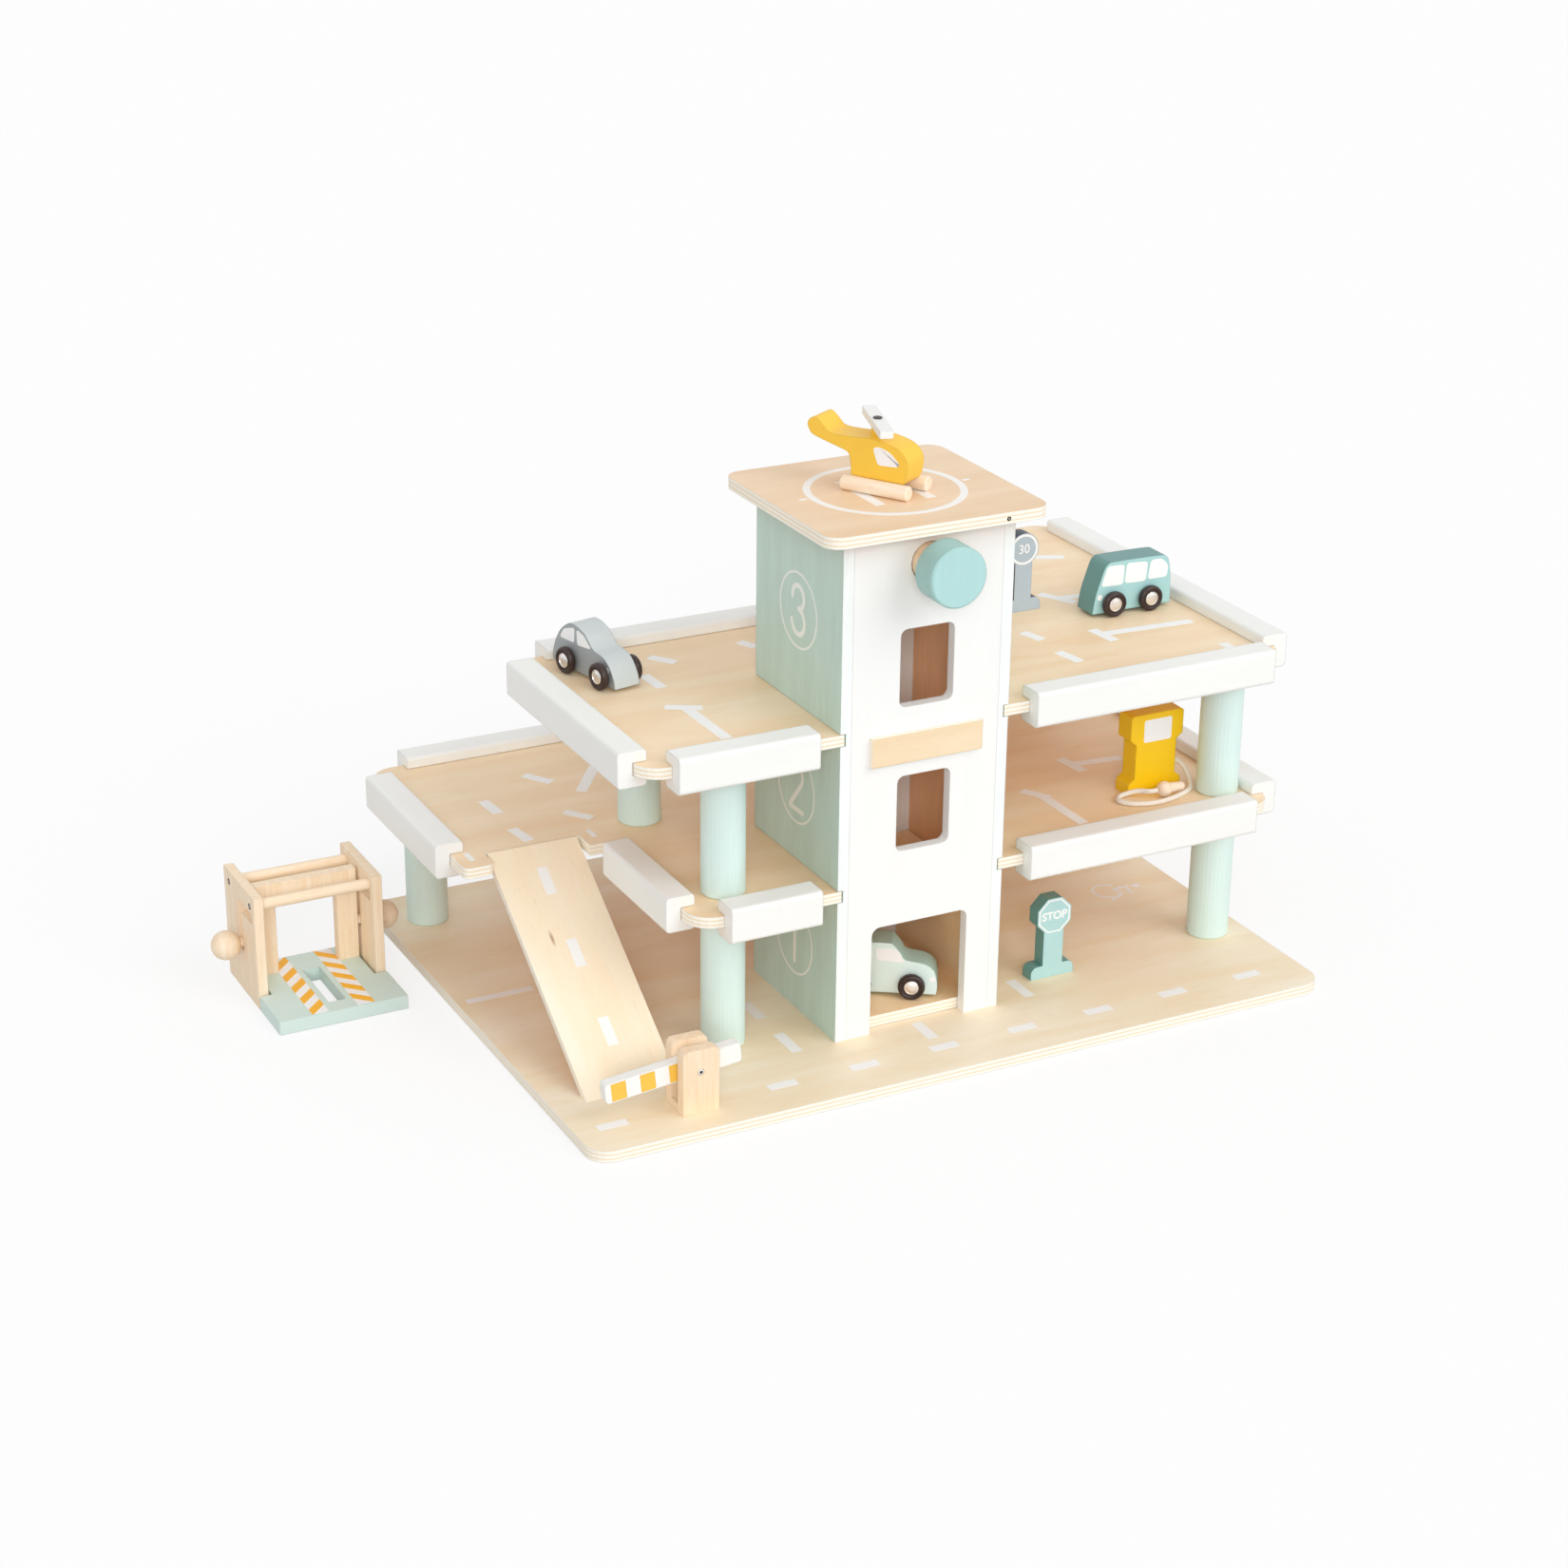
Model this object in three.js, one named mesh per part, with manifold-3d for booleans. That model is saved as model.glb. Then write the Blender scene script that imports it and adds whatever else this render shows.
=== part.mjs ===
// Wooden toy parking garage with a hand-wound lift, a car hoist, vehicles and signs.
// Millimetres, +Z up. Plan places are measured from the front left corner of the base board,
// x to the right and y to the back; the finished group is moved so that its origin is the
// middle of the underside of the base board.

import * as THREE from 'three';
import { mergeVertices } from 'three/addons/utils/BufferGeometryUtils.js';
import Module from 'manifold-3d';

const wasm = await Module();
wasm.setup();

// Stock and fits
const PLY = 8;
const FIT_GAP = 0.3;
const RUN_GAP = 0.8;
const CUT_OVERRUN = 2;
const MERGE_DISTANCE = 0.0001;

// Base board and storeys
const BASE_WIDTH = 560;
const BASE_DEPTH = 414;
const BASE_CORNER_RADIUS = 16;
const COLUMN_DIAMETER = 30;
const COLUMN_LENGTH = 103.5;
const COLUMN_EDGE = 1;
const BASE_TOP = PLY;
const STOREY = COLUMN_LENGTH + PLY;
const LOWER_TOP = BASE_TOP + STOREY;
const UPPER_TOP = LOWER_TOP + STOREY;

// Plan places of the columns
const LEFT_COLUMN_X = 32;
const LEFT_COLUMN_Y = 371;
const STEP_COLUMN_X = 140;
const FRONT_COLUMN_Y = 103.5;
const MIDDLE_COLUMN_Y = 235.5;
const RIGHT_COLUMN_X = 531;
const BACK_COLUMN_Y = 360;

// Lift tower
const TOWER_LEFT = 207;
const TOWER_FRONT = 68.5;
const TOWER_WIDTH = 126;
const TOWER_DEPTH = 122;
const SLOT_DEPTH = 4;
const TAB_DEPTH = 3;
const DOOR_WIDTH = 73;
const DOOR_HEIGHT = 79;
const DOOR_CORNER_RADIUS = 6;
const WINDOW_WIDTH = 40;
const WINDOW_HEIGHT = 54;
const WINDOW_CORNER_RADIUS = 5;
const LOWER_SILL_HEIGHT = 20.5;
const UPPER_SILL_HEIGHT = 11.5;
const PLATE_WIDTH = 83;
const PLATE_HEIGHT = 20.5;
const PLATE_THICKNESS = 4;
const PLATE_GAP_ABOVE_WINDOW = 11;
const ROOF_WIDTH = 162;
const ROOF_DEPTH = 153;
const ROOF_CORNER_RADIUS = 12;
const TOWER_RIGHT = TOWER_LEFT + TOWER_WIDTH;
const TOWER_BACK = TOWER_FRONT + TOWER_DEPTH;
const TOWER_MIDDLE_X = TOWER_LEFT + TOWER_WIDTH / 2;
const TOWER_MIDDLE_Y = TOWER_FRONT + TOWER_DEPTH / 2;

// Winding gear and lift cabin
const SHAFT_DIAMETER = 26;
const SHAFT_ABOVE_EXIT = 30.4;
const ROOF_ABOVE_SHAFT = 22.6;
const SHAFT_TAIL = 4;
const KNOB_DIAMETER = 41;
const KNOB_LENGTH = 22;
const KNOB_STANDOFF = 15.5;
const KNOB_EDGE = 1.2;
const CABIN_HEIGHT = 89;
const CORD_DIAMETER = 1.6;
const SHAFT_Z = UPPER_TOP + DOOR_HEIGHT + SHAFT_ABOVE_EXIT;
const TOWER_TOP = SHAFT_Z + ROOF_ABOVE_SHAFT;
const ROOF_TOP = TOWER_TOP + PLY;
const CABIN_UNDERSIDE = BASE_TOP + FIT_GAP;
const CABIN_FLOOR = CABIN_UNDERSIDE + PLY;
const CABIN_TOP = CABIN_UNDERSIDE + CABIN_HEIGHT;

// Decks
const DECK_RIGHT = 557;
const DECK_CORNER_RADIUS = 18;
const INNER_CORNER_RADIUS = 5;
const LOWER_BACK = 397;
const TONGUE_FRONT = 209;
const LEFT_TONGUE_WIDTH = 21.5;
const NOTCH_WIDTH = 69.5;
const NOTCH_DEPTH = 19;
const STEP_X = 104;
const UPPER_LEFT = 67;
const UPPER_LEFT_BACK = 285;
const UPPER_STEP_X = 333;
const UPPER_BACK = 385;

// Rails: their section, then the gaps between their ends and the corners of the decks
const RAIL_HEIGHT = 25;
const RAIL_OUTSIDE = 11;
const RAIL_GRIP = 9.5;
const RAIL_EDGE_RADIUS = 2.5;
const RAIL_TOWER_GAP = 16.5;
const RAIL_LONG_TOWER_GAP = 20;
const RAIL_LEFT_CORNER_GAP = 20;
const RAIL_BACK_CORNER_GAP = 27;
const RAIL_RIGHT_CORNER_GAP = 23;
const RAIL_FRONT_CORNER_GAP = 15.5;
const RAIL_TONGUE_GAP = 17;
const RAIL_STEP_GAP = 12;

// Ramp
const RAMP_WIDTH = 66;
const RAMP_THICKNESS = 5;
const RAMP_FOOT_Y = 65;
const RAMP_FOOT_EDGE = 1.5;

// Barrier
const BARRIER_X = 71;
const BARRIER_Y = 20.3;
const BARRIER_WIDTH = 26;
const BARRIER_DEPTH = 26;
const BARRIER_HEIGHT = 46;
const BARRIER_CORNER_RADIUS = 4;
const BARRIER_SLOT_WIDTH = 9.6;
const BARRIER_SLOT_FLOOR = 6;
const BOOM_LEFT_ARM = 63.5;
const BOOM_RIGHT_ARM = 33;
const BOOM_HEIGHT = 14;
const BOOM_THICKNESS = 8;
const BOOM_CORNER_RADIUS = 2.5;
const BOOM_PIVOT_HEIGHT = 29.8;
const BOOM_PIN_DIAMETER = 4;
const BOOM_TILT_DEGREES = 5.5;

// Vehicles
const BODY_WIDTH = 20;
const GROUND_CLEARANCE = 2.5;
const WHEEL_DIAMETER = 19;
const WHEEL_WIDTH = 5;
const WHEEL_EDGE = 1.4;
const WHEEL_RECESS = 0.8;
const HUB_DIAMETER = 9;
const HUB_EDGE = 0.8;
const AXLE_DIAMETER = 4;
const WHEEL_GAP = 1.3;
const ROUND_CAR_AXLE_SHIFT = 0.9;
const ROUND_CAR_LENGTH = 73.4;
const ROUND_CAR_HEIGHT = 32.6;
const BUS_LENGTH = 65.5;
const BUS_HEIGHT = 37.3;
const LIFT_CAR_LENGTH = 72;
const LIFT_CAR_HEIGHT = 37.4;
const ROUND_CAR_X = 109.5;
const ROUND_CAR_Y = 236.8;
const ROUND_CAR_HEADING_DEGREES = -78.9;
const BUS_X = 505.7;
const BUS_Y = 196.5;
const BUS_HEADING_DEGREES = 180;
const LIFT_CAR_X = 268;
const LIFT_CAR_Y = 109.5;
const LIFT_CAR_HEADING_DEGREES = -32.2;

// Helicopter
const HELICOPTER_X = 265.5;
const HELICOPTER_Y = 133.8;
const HELICOPTER_HEADING_DEGREES = -58.85;
const HELICOPTER_LENGTH = 76.4;
const HELICOPTER_HEIGHT = 35.8;
const HELICOPTER_BODY_WIDTH = 21;
const SKID_DIAMETER = 10;
const SKID_LENGTH = 50;
const SKID_NOSE_OVERHANG = 3;
const SKID_SPACING = 26;
const SKID_EDGE = 0.8;
const MAST_DIAMETER = 8;
const MAST_TOP = 42;
const ROTOR_LENGTH = 60;
const ROTOR_WIDTH = 9;
const ROTOR_THICKNESS = 5;
const ROTOR_CORNER_RADIUS = 1;
const ROTOR_PIN_DIAMETER = 3;
const ROTOR_PIN_HEAD_DIAMETER = 6;
const ROTOR_PIN_HEAD_HEIGHT = 1.2;
const ROTOR_HEADING_DEGREES = 72.6;

// Signs
const SIGN_THICKNESS = 11;
const SIGN_FOOT_HEIGHT = 9.5;
const SIGN_FOOT_RADIUS = 5;
const STOP_X = 391;
const STOP_Y = 90;
const STOP_FOOT_WIDTH = 34.5;
const STOP_POST_WIDTH = 16;
const STOP_HEAD_WIDTH = 27;
const STOP_HEAD_HEIGHT = 47;
const SPEED_X = 435;
const SPEED_Y = 220.5;
const SPEED_FOOT_WIDTH = 30;
const SPEED_POST_WIDTH = 14;
const SPEED_HEAD_DIAMETER = 24;
const SPEED_HEAD_HEIGHT = 46.6;

// Fuel pump
const PUMP_LEFT = 467.5;
const PUMP_Y = 121;
const PUMP_WIDTH = 43.5;
const PUMP_NECK_WIDTH = 33.5;
const PUMP_DEPTH = 16;
const PUMP_HEIGHT = 60;
const PUMP_FOOT_HEIGHT = 8;
const PUMP_SHOULDER_HEIGHT = 37.5;
const PUMP_SHOULDER_SLOPE = 4;
const PUMP_CORNER_RADIUS = 2.5;
const HOSE_DIAMETER = 3.6;
const HOSE_PIECES = 56;
const BEAD_DIAMETER = 11.4;
const BEAD_NECK_DIAMETER = 4.4;
const NOZZLE_LENGTH = 10.5;
const NOZZLE_ROOT_DIAMETER = 8;
const NOZZLE_TIP_DIAMETER = 6;
const NOZZLE_TIP_EDGE = 1;
const NOZZLE_X = 490;
const NOZZLE_Y = 109;

// Car hoist
const HOIST_X = -119.5;
const HOIST_Y = 300;
const HOIST_WIDTH = 92.5;
const HOIST_SIDE_DEPTH = 65;
const HOIST_SIDE_HEIGHT = 83;
const HOIST_SIDE_THICKNESS = 7;
const HOIST_SLOT_WIDTH = 8;
const HOIST_SLOT_BACKSET = 32;
const HOIST_SLOT_FLOOR = 33;
const HOIST_SLOT_TOP = 70;
const HOIST_HOOK_LENGTH = 22;
const HOIST_DOWEL_DIAMETER = 8;
const HOIST_DOWEL_SEAT = 3;
const HOIST_DOWEL_HEIGHT = 74.5;
const HOIST_FRONT_DOWEL_Y = 9;
const HOIST_BACK_DOWEL_Y = 54.5;
const PLATFORM_THICKNESS = 10;
const PLATFORM_REACH = 44;
const PLATFORM_SIDE_GAP = 2;
const PLATFORM_BACKSET = 50;
const PLATFORM_HOLE_WIDTH = 12.5;
const PLATFORM_HOLE_LENGTH = 55;
const PLATFORM_HOLE_FRONT = 14;
const GANTRY_POST_WIDTH = 15;
const GANTRY_POST_DEPTH = 8;
const GANTRY_SIDE_GAP = 2;
const GANTRY_BAR_HEIGHT = 13;
const GANTRY_BAR_TOP = 79;
const GANTRY_PEG_DIAMETER = 7;
const GANTRY_PEG_Z = 37.5;
const GANTRY_BALL_DIAMETER = 21;
const GANTRY_BALL_GAP = 1;

// Numbers of steps round curves
const CORNER_STEPS = 6;
const EDGE_STEPS = 3;
const COLUMN_SIDES = 32;
const ROD_SIDES = 24;
const WHEEL_SIDES = 24;
const KNOB_SIDES = 48;
const BALL_RINGS = 12;
const HOLE_SIDES = 20;
const OUTLINE_STEPS = 3;
const HOSE_SIDES = 8;

// Side outlines of the vehicles, as shares of length from the tail and of body height
const ROUND_CAR_SHARES = [
  [1, 0], [0.985, 0.13], [0.965, 0.24], [0.9, 0.45], [0.808, 0.58], [0.685, 0.625],
  [0.615, 0.705], [0.535, 0.88], [0.42, 0.98], [0.33, 1], [0.255, 0.96], [0.14, 0.77],
  [0.057, 0.505], [0.011, 0.25], [0, 0.08], [0.015, 0],
];
const BUS_SHARES = [
  [1, 0], [0.988, 0.16], [0.965, 0.38], [0.915, 0.65], [0.862, 0.9], [0.81, 0.985],
  [0.755, 1], [0.45, 0.995], [0.135, 0.98], [0.065, 0.93], [0.035, 0.82], [0.008, 0.5], [0, 0],
];
const LIFT_CAR_SHARES = [
  [0.99, 0], [1, 0.14], [0.99, 0.31], [0.962, 0.48], [0.87, 0.61], [0.69, 0.675],
  [0.645, 0.8], [0.575, 0.965], [0.53, 1], [0.35, 1], [0.085, 0.985], [0.035, 0.9],
  [0.012, 0.65], [0, 0.35], [0.006, 0],
];
const HELICOPTER_SHARES = [
  [0.96, 0], [0.985, 0.1], [1, 0.33], [0.985, 0.48], [0.91, 0.63], [0.765, 0.715],
  [0.62, 0.745], [0.47, 0.722], [0.245, 0.72], [0.17, 0.83], [0.1, 0.955], [0.04, 0.935],
  [0.01, 0.82], [0.035, 0.69], [0.09, 0.61], [0.33, 0.475], [0.415, 0.41], [0.44, 0.26], [0.45, 0],
];
const ROUND_CAR_AXLE_SHARES = [0.3, 0.829];
const BUS_AXLE_SHARES = [0.292, 0.759];
const LIFT_CAR_AXLE_SHARES = [0.243, 0.757];
const MAST_SHARE = 0.62;

// Points of the pump hose on its way from the pump to the bead, chosen by hand
const HOSE_POINTS = [
  [506.3, 129.0, 137.0], [510.5, 129.0, 137.0], [514.6, 127.2, 134.8], [517.2, 123.0, 129.8],
  [517.0, 117.2, 124.6], [513.6, 111.6, 121.8], [507.2, 106.6, 121.6], [498.6, 102.6, 121.6],
  [487.6, 99.6, 121.6], [475.6, 98.8, 121.6], [464.8, 101.6, 121.6], [457.2, 107.2, 121.6],
  [455.0, 113.6, 121.6], [458.6, 118.0, 122.0], [465.6, 118.6, 123.0], [473.2, 115.4, 124.6],
  [478.6, 109.8, 125.4], [484.1, 109.0, 125.5],
];

// Materials
function finish(colour, roughness, metalness = 0) {
  return new THREE.MeshStandardMaterial({ color: colour, roughness, metalness });
}
const plywood = finish(0xe9d5b4, 0.55);
const beech = finish(0xe8cba0, 0.5);
const whitePaint = finish(0xf4f4f0, 0.45);
const mintPaint = finish(0xcfe2d8, 0.45);
const sagePaint = finish(0xb9cdc1, 0.5);
const tealPaint = finish(0x8fc3bd, 0.42);
const palePaint = finish(0xb6ddd6, 0.42);
const greyPaint = finish(0xaab4b6, 0.42);
const yellowPaint = finish(0xf8c431, 0.42);
const brownRubber = finish(0x33211d, 0.5);
const whiteHose = finish(0xf2efe9, 0.6);
const cotton = finish(0xe9e2d2, 0.85);

// Closed meshes to solids and back, for cuts and joins
function toSolid(geometry) {
  const bare = geometry.clone();
  bare.deleteAttribute('normal');
  bare.deleteAttribute('uv');
  const merged = mergeVertices(bare, MERGE_DISTANCE);
  return new wasm.Manifold(new wasm.Mesh({
    numProp: 3,
    vertProperties: new Float32Array(merged.attributes.position.array),
    triVerts: new Uint32Array(merged.index.array),
  }));
}

function toGeometry(solid) {
  const mesh = solid.getMesh();
  const geometry = new THREE.BufferGeometry();
  geometry.setAttribute('position', new THREE.BufferAttribute(mesh.vertProperties, 3));
  geometry.setIndex(new THREE.BufferAttribute(mesh.triVerts, 1));
  return geometry;
}

function cut(geometry, tools) {
  return toGeometry(tools.reduce((solid, tool) => solid.subtract(toSolid(tool)), toSolid(geometry)));
}

function join(geometries) {
  return toGeometry(geometries.map(toSolid).reduce((solid, other) => solid.add(other)));
}

// A block between two corners
function block(x0, x1, y0, y1, z0, z1) {
  const geometry = new THREE.BoxGeometry(x1 - x0, y1 - y0, z1 - z0);
  return geometry.translate((x0 + x1) / 2, (y0 + y1) / 2, (z0 + z1) / 2);
}

// The points of one corner rounded to its radius
function roundCorner(before, here, after, radius, steps) {
  if (radius === 0) return [here];
  const back = before.clone().sub(here).normalize();
  const ahead = after.clone().sub(here).normalize();
  const half = Math.acos(back.dot(ahead)) / 2;
  const centre = back.clone().add(ahead).normalize().multiplyScalar(radius / Math.sin(half)).add(here);
  const start = here.clone().addScaledVector(back, radius / Math.tan(half)).sub(centre);
  const turn = Math.sign(back.cross(ahead)) * (Math.PI - 2 * half);
  const points = [];
  for (let step = 0; step <= steps; step += 1) {
    const point = start.clone().rotateAround(new THREE.Vector2(), (-turn * step) / steps);
    points.push(point.add(centre));
  }
  return points;
}

// A closed outline from corners given as x, y and radius
function outline(corners, steps = CORNER_STEPS) {
  const places = corners.map(([x, y]) => new THREE.Vector2(x, y));
  const count = corners.length;
  const points = corners.flatMap(([, , radius], index) => roundCorner(
    places[(index + count - 1) % count],
    places[index],
    places[(index + 1) % count],
    radius,
    steps,
  ));
  return new THREE.Shape(points);
}

function rectangle(x0, x1, y0, y1, radius) {
  return outline([[x0, y0, radius], [x1, y0, radius], [x1, y1, radius], [x0, y1, radius]]);
}

function addRoundHole(shape, x, y, radius) {
  const hole = new THREE.Path();
  hole.absarc(x, y, radius, 0, 2 * Math.PI, true);
  shape.holes.push(new THREE.Path(hole.getPoints(HOLE_SIDES / 2)));
  return shape;
}

// A board lying flat, standing across the garage, or standing along it
function lying(shape, thickness) {
  return new THREE.ExtrudeGeometry(shape, { depth: thickness, bevelEnabled: false, curveSegments: 1 });
}

function standing(shape, thickness) {
  return lying(shape, thickness).rotateX(Math.PI / 2).translate(0, thickness, 0);
}

function standingSideways(shape, thickness) {
  return standing(shape, thickness).rotateZ(Math.PI / 2).translate(thickness, 0, 0);
}

// A turned piece from radius and height pairs, its axis along Z
function turned(profile, sides) {
  const points = profile.map(([radius, height]) => new THREE.Vector2(radius, height));
  return new THREE.LatheGeometry(points, sides).rotateX(Math.PI / 2);
}

function turnedRod(diameter, length, edge, sides) {
  const radius = diameter / 2;
  return turned([
    [0, 0],
    [radius - edge, 0],
    [radius, edge],
    [radius, length - edge],
    [radius - edge, length],
    [0, length],
  ], sides);
}

// The outline of a vehicle from its shares, in length and height
function shareOutline(shares, length, height) {
  const places = shares.map(([along, up]) => new THREE.Vector2(along * length, up * height));
  const curve = new THREE.SplineCurve(places);
  return new THREE.Shape(curve.getPoints(OUTLINE_STEPS * (places.length - 1)));
}

const garage = new THREE.Group();
garage.position.set(-BASE_WIDTH / 2, -BASE_DEPTH / 2, 0);

function add(name, geometry, material, x = 0, y = 0, z = 0, parent = garage) {
  const mesh = new THREE.Mesh(geometry, material);
  mesh.name = name;
  mesh.position.set(x, y, z);
  parent.add(mesh);
  return mesh;
}

function addGroup(x, y, z, headingDegrees, parent = garage) {
  const group = new THREE.Group();
  group.position.set(x, y, z);
  group.rotation.z = THREE.MathUtils.degToRad(headingDegrees);
  parent.add(group);
  return group;
}

// Base board
function addBase() {
  const shape = rectangle(0, BASE_WIDTH, 0, BASE_DEPTH, BASE_CORNER_RADIUS);
  add('base_board', lying(shape, PLY), plywood);
}

// Round columns between the boards
function addColumns() {
  const column = turnedRod(COLUMN_DIAMETER, COLUMN_LENGTH, COLUMN_EDGE, COLUMN_SIDES);
  const floors = [['ground', BASE_TOP], ['first', LOWER_TOP]];
  for (const [floor, height] of floors) {
    add(`column_${floor}_step_front`, column, mintPaint, STEP_COLUMN_X, FRONT_COLUMN_Y, height);
    add(`column_${floor}_right_front`, column, mintPaint, RIGHT_COLUMN_X, FRONT_COLUMN_Y, height);
    add(`column_${floor}_right_back`, column, mintPaint, RIGHT_COLUMN_X, BACK_COLUMN_Y, height);
  }
  add('column_ground_left_back', column, mintPaint, LEFT_COLUMN_X, LEFT_COLUMN_Y, BASE_TOP);
  add('column_first_middle', column, mintPaint, STEP_COLUMN_X, MIDDLE_COLUMN_Y, LOWER_TOP);
}

// The part of a deck outline that goes round the lift tower
function towerCutout(frontY) {
  const left = TOWER_LEFT + TAB_DEPTH;
  const right = TOWER_RIGHT - TAB_DEPTH;
  const back = TOWER_BACK + FIT_GAP;
  return [[left, frontY, 0], [left, back, 0], [right, back, 0], [right, frontY, 0]];
}

function addDecks() {
  const notchLeft = LEFT_TONGUE_WIDTH;
  const notchRight = LEFT_TONGUE_WIDTH + NOTCH_WIDTH;
  const notchBack = TONGUE_FRONT + NOTCH_DEPTH;
  const lower = outline([
    [0, TONGUE_FRONT, INNER_CORNER_RADIUS],
    [notchLeft, TONGUE_FRONT, INNER_CORNER_RADIUS],
    [notchLeft, notchBack, 0],
    [notchRight, notchBack, 0],
    [notchRight, TONGUE_FRONT, 0],
    [STEP_X, TONGUE_FRONT, INNER_CORNER_RADIUS],
    [STEP_X, TOWER_FRONT, DECK_CORNER_RADIUS],
    ...towerCutout(TOWER_FRONT),
    [DECK_RIGHT, TOWER_FRONT, DECK_CORNER_RADIUS],
    [DECK_RIGHT, LOWER_BACK, DECK_CORNER_RADIUS],
    [0, LOWER_BACK, DECK_CORNER_RADIUS],
  ]);
  const upper = outline([
    [UPPER_LEFT, TOWER_FRONT, DECK_CORNER_RADIUS],
    ...towerCutout(TOWER_FRONT),
    [DECK_RIGHT, TOWER_FRONT, DECK_CORNER_RADIUS],
    [DECK_RIGHT, UPPER_BACK, DECK_CORNER_RADIUS],
    [UPPER_STEP_X, UPPER_BACK, DECK_CORNER_RADIUS],
    [UPPER_STEP_X, UPPER_LEFT_BACK, INNER_CORNER_RADIUS],
    [UPPER_LEFT, UPPER_LEFT_BACK, DECK_CORNER_RADIUS],
  ]);
  add('lower_deck', lying(lower, PLY), plywood, 0, 0, LOWER_TOP - PLY);
  add('upper_deck', lying(upper, PLY), plywood, 0, 0, UPPER_TOP - PLY);
}

// A tower side wall with a slot on its outer face for each deck
function towerWall(outerX, innerX) {
  const slotX = innerX > outerX ? outerX + SLOT_DEPTH : outerX - SLOT_DEPTH;
  const overX = innerX > outerX ? outerX - CUT_OVERRUN : outerX + CUT_OVERRUN;
  const slots = [LOWER_TOP, UPPER_TOP].map((deckTop) => block(
    Math.min(slotX, overX),
    Math.max(slotX, overX),
    TOWER_FRONT - CUT_OVERRUN,
    TOWER_BACK + CUT_OVERRUN,
    deckTop - PLY - FIT_GAP,
    deckTop + FIT_GAP,
  ));
  const wall = block(
    Math.min(outerX, innerX),
    Math.max(outerX, innerX),
    TOWER_FRONT,
    TOWER_BACK,
    BASE_TOP,
    TOWER_TOP,
  );
  return cut(wall, slots);
}

// The outline shared by the two tower panels, with the round hole for the winding shaft
function panelShape() {
  const shape = rectangle(TOWER_LEFT + PLY, TOWER_RIGHT - PLY, BASE_TOP, TOWER_TOP, 0);
  return addRoundHole(shape, TOWER_MIDDLE_X, SHAFT_Z, SHAFT_DIAMETER / 2 + RUN_GAP);
}

function panelOpening(width, bottom, height, radius) {
  const left = TOWER_MIDDLE_X - width / 2;
  const shape = rectangle(left, left + width, bottom, bottom + height, radius);
  return standing(shape, PLY + 2 * CUT_OVERRUN);
}

function addTower() {
  add('tower_left_wall', towerWall(TOWER_LEFT, TOWER_LEFT + PLY), sagePaint);
  add('tower_right_wall', towerWall(TOWER_RIGHT, TOWER_RIGHT - PLY), sagePaint);
  const door = panelOpening(
    DOOR_WIDTH,
    BASE_TOP - DOOR_CORNER_RADIUS - CUT_OVERRUN,
    DOOR_HEIGHT + DOOR_CORNER_RADIUS + CUT_OVERRUN,
    DOOR_CORNER_RADIUS,
  );
  const windows = [LOWER_TOP + LOWER_SILL_HEIGHT, UPPER_TOP + UPPER_SILL_HEIGHT].map(
    (sill) => panelOpening(WINDOW_WIDTH, sill, WINDOW_HEIGHT, WINDOW_CORNER_RADIUS),
  );
  const front = [door, ...windows].map((tool) => tool.translate(0, -CUT_OVERRUN, 0));
  add('tower_front_panel', cut(standing(panelShape(), PLY), front), whitePaint, 0, TOWER_FRONT);
  const exits = [LOWER_TOP, UPPER_TOP].map(
    (sill) => panelOpening(DOOR_WIDTH, sill, DOOR_HEIGHT, DOOR_CORNER_RADIUS).translate(0, -CUT_OVERRUN, 0),
  );
  add('tower_back_panel', cut(standing(panelShape(), PLY), exits), whitePaint, 0, TOWER_BACK - PLY);
  const roof = rectangle(
    TOWER_MIDDLE_X - ROOF_WIDTH / 2,
    TOWER_MIDDLE_X + ROOF_WIDTH / 2,
    TOWER_MIDDLE_Y - ROOF_DEPTH / 2,
    TOWER_MIDDLE_Y + ROOF_DEPTH / 2,
    ROOF_CORNER_RADIUS,
  );
  add('roof_board', lying(roof, PLY), plywood, 0, 0, TOWER_TOP);
  const plateBottom = LOWER_TOP + LOWER_SILL_HEIGHT + WINDOW_HEIGHT + PLATE_GAP_ABOVE_WINDOW;
  const plate = block(
    TOWER_MIDDLE_X - PLATE_WIDTH / 2,
    TOWER_MIDDLE_X + PLATE_WIDTH / 2,
    TOWER_FRONT - PLATE_THICKNESS,
    TOWER_FRONT,
    plateBottom,
    plateBottom + PLATE_HEIGHT,
  );
  add('name_plate', plate, plywood);
}

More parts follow.
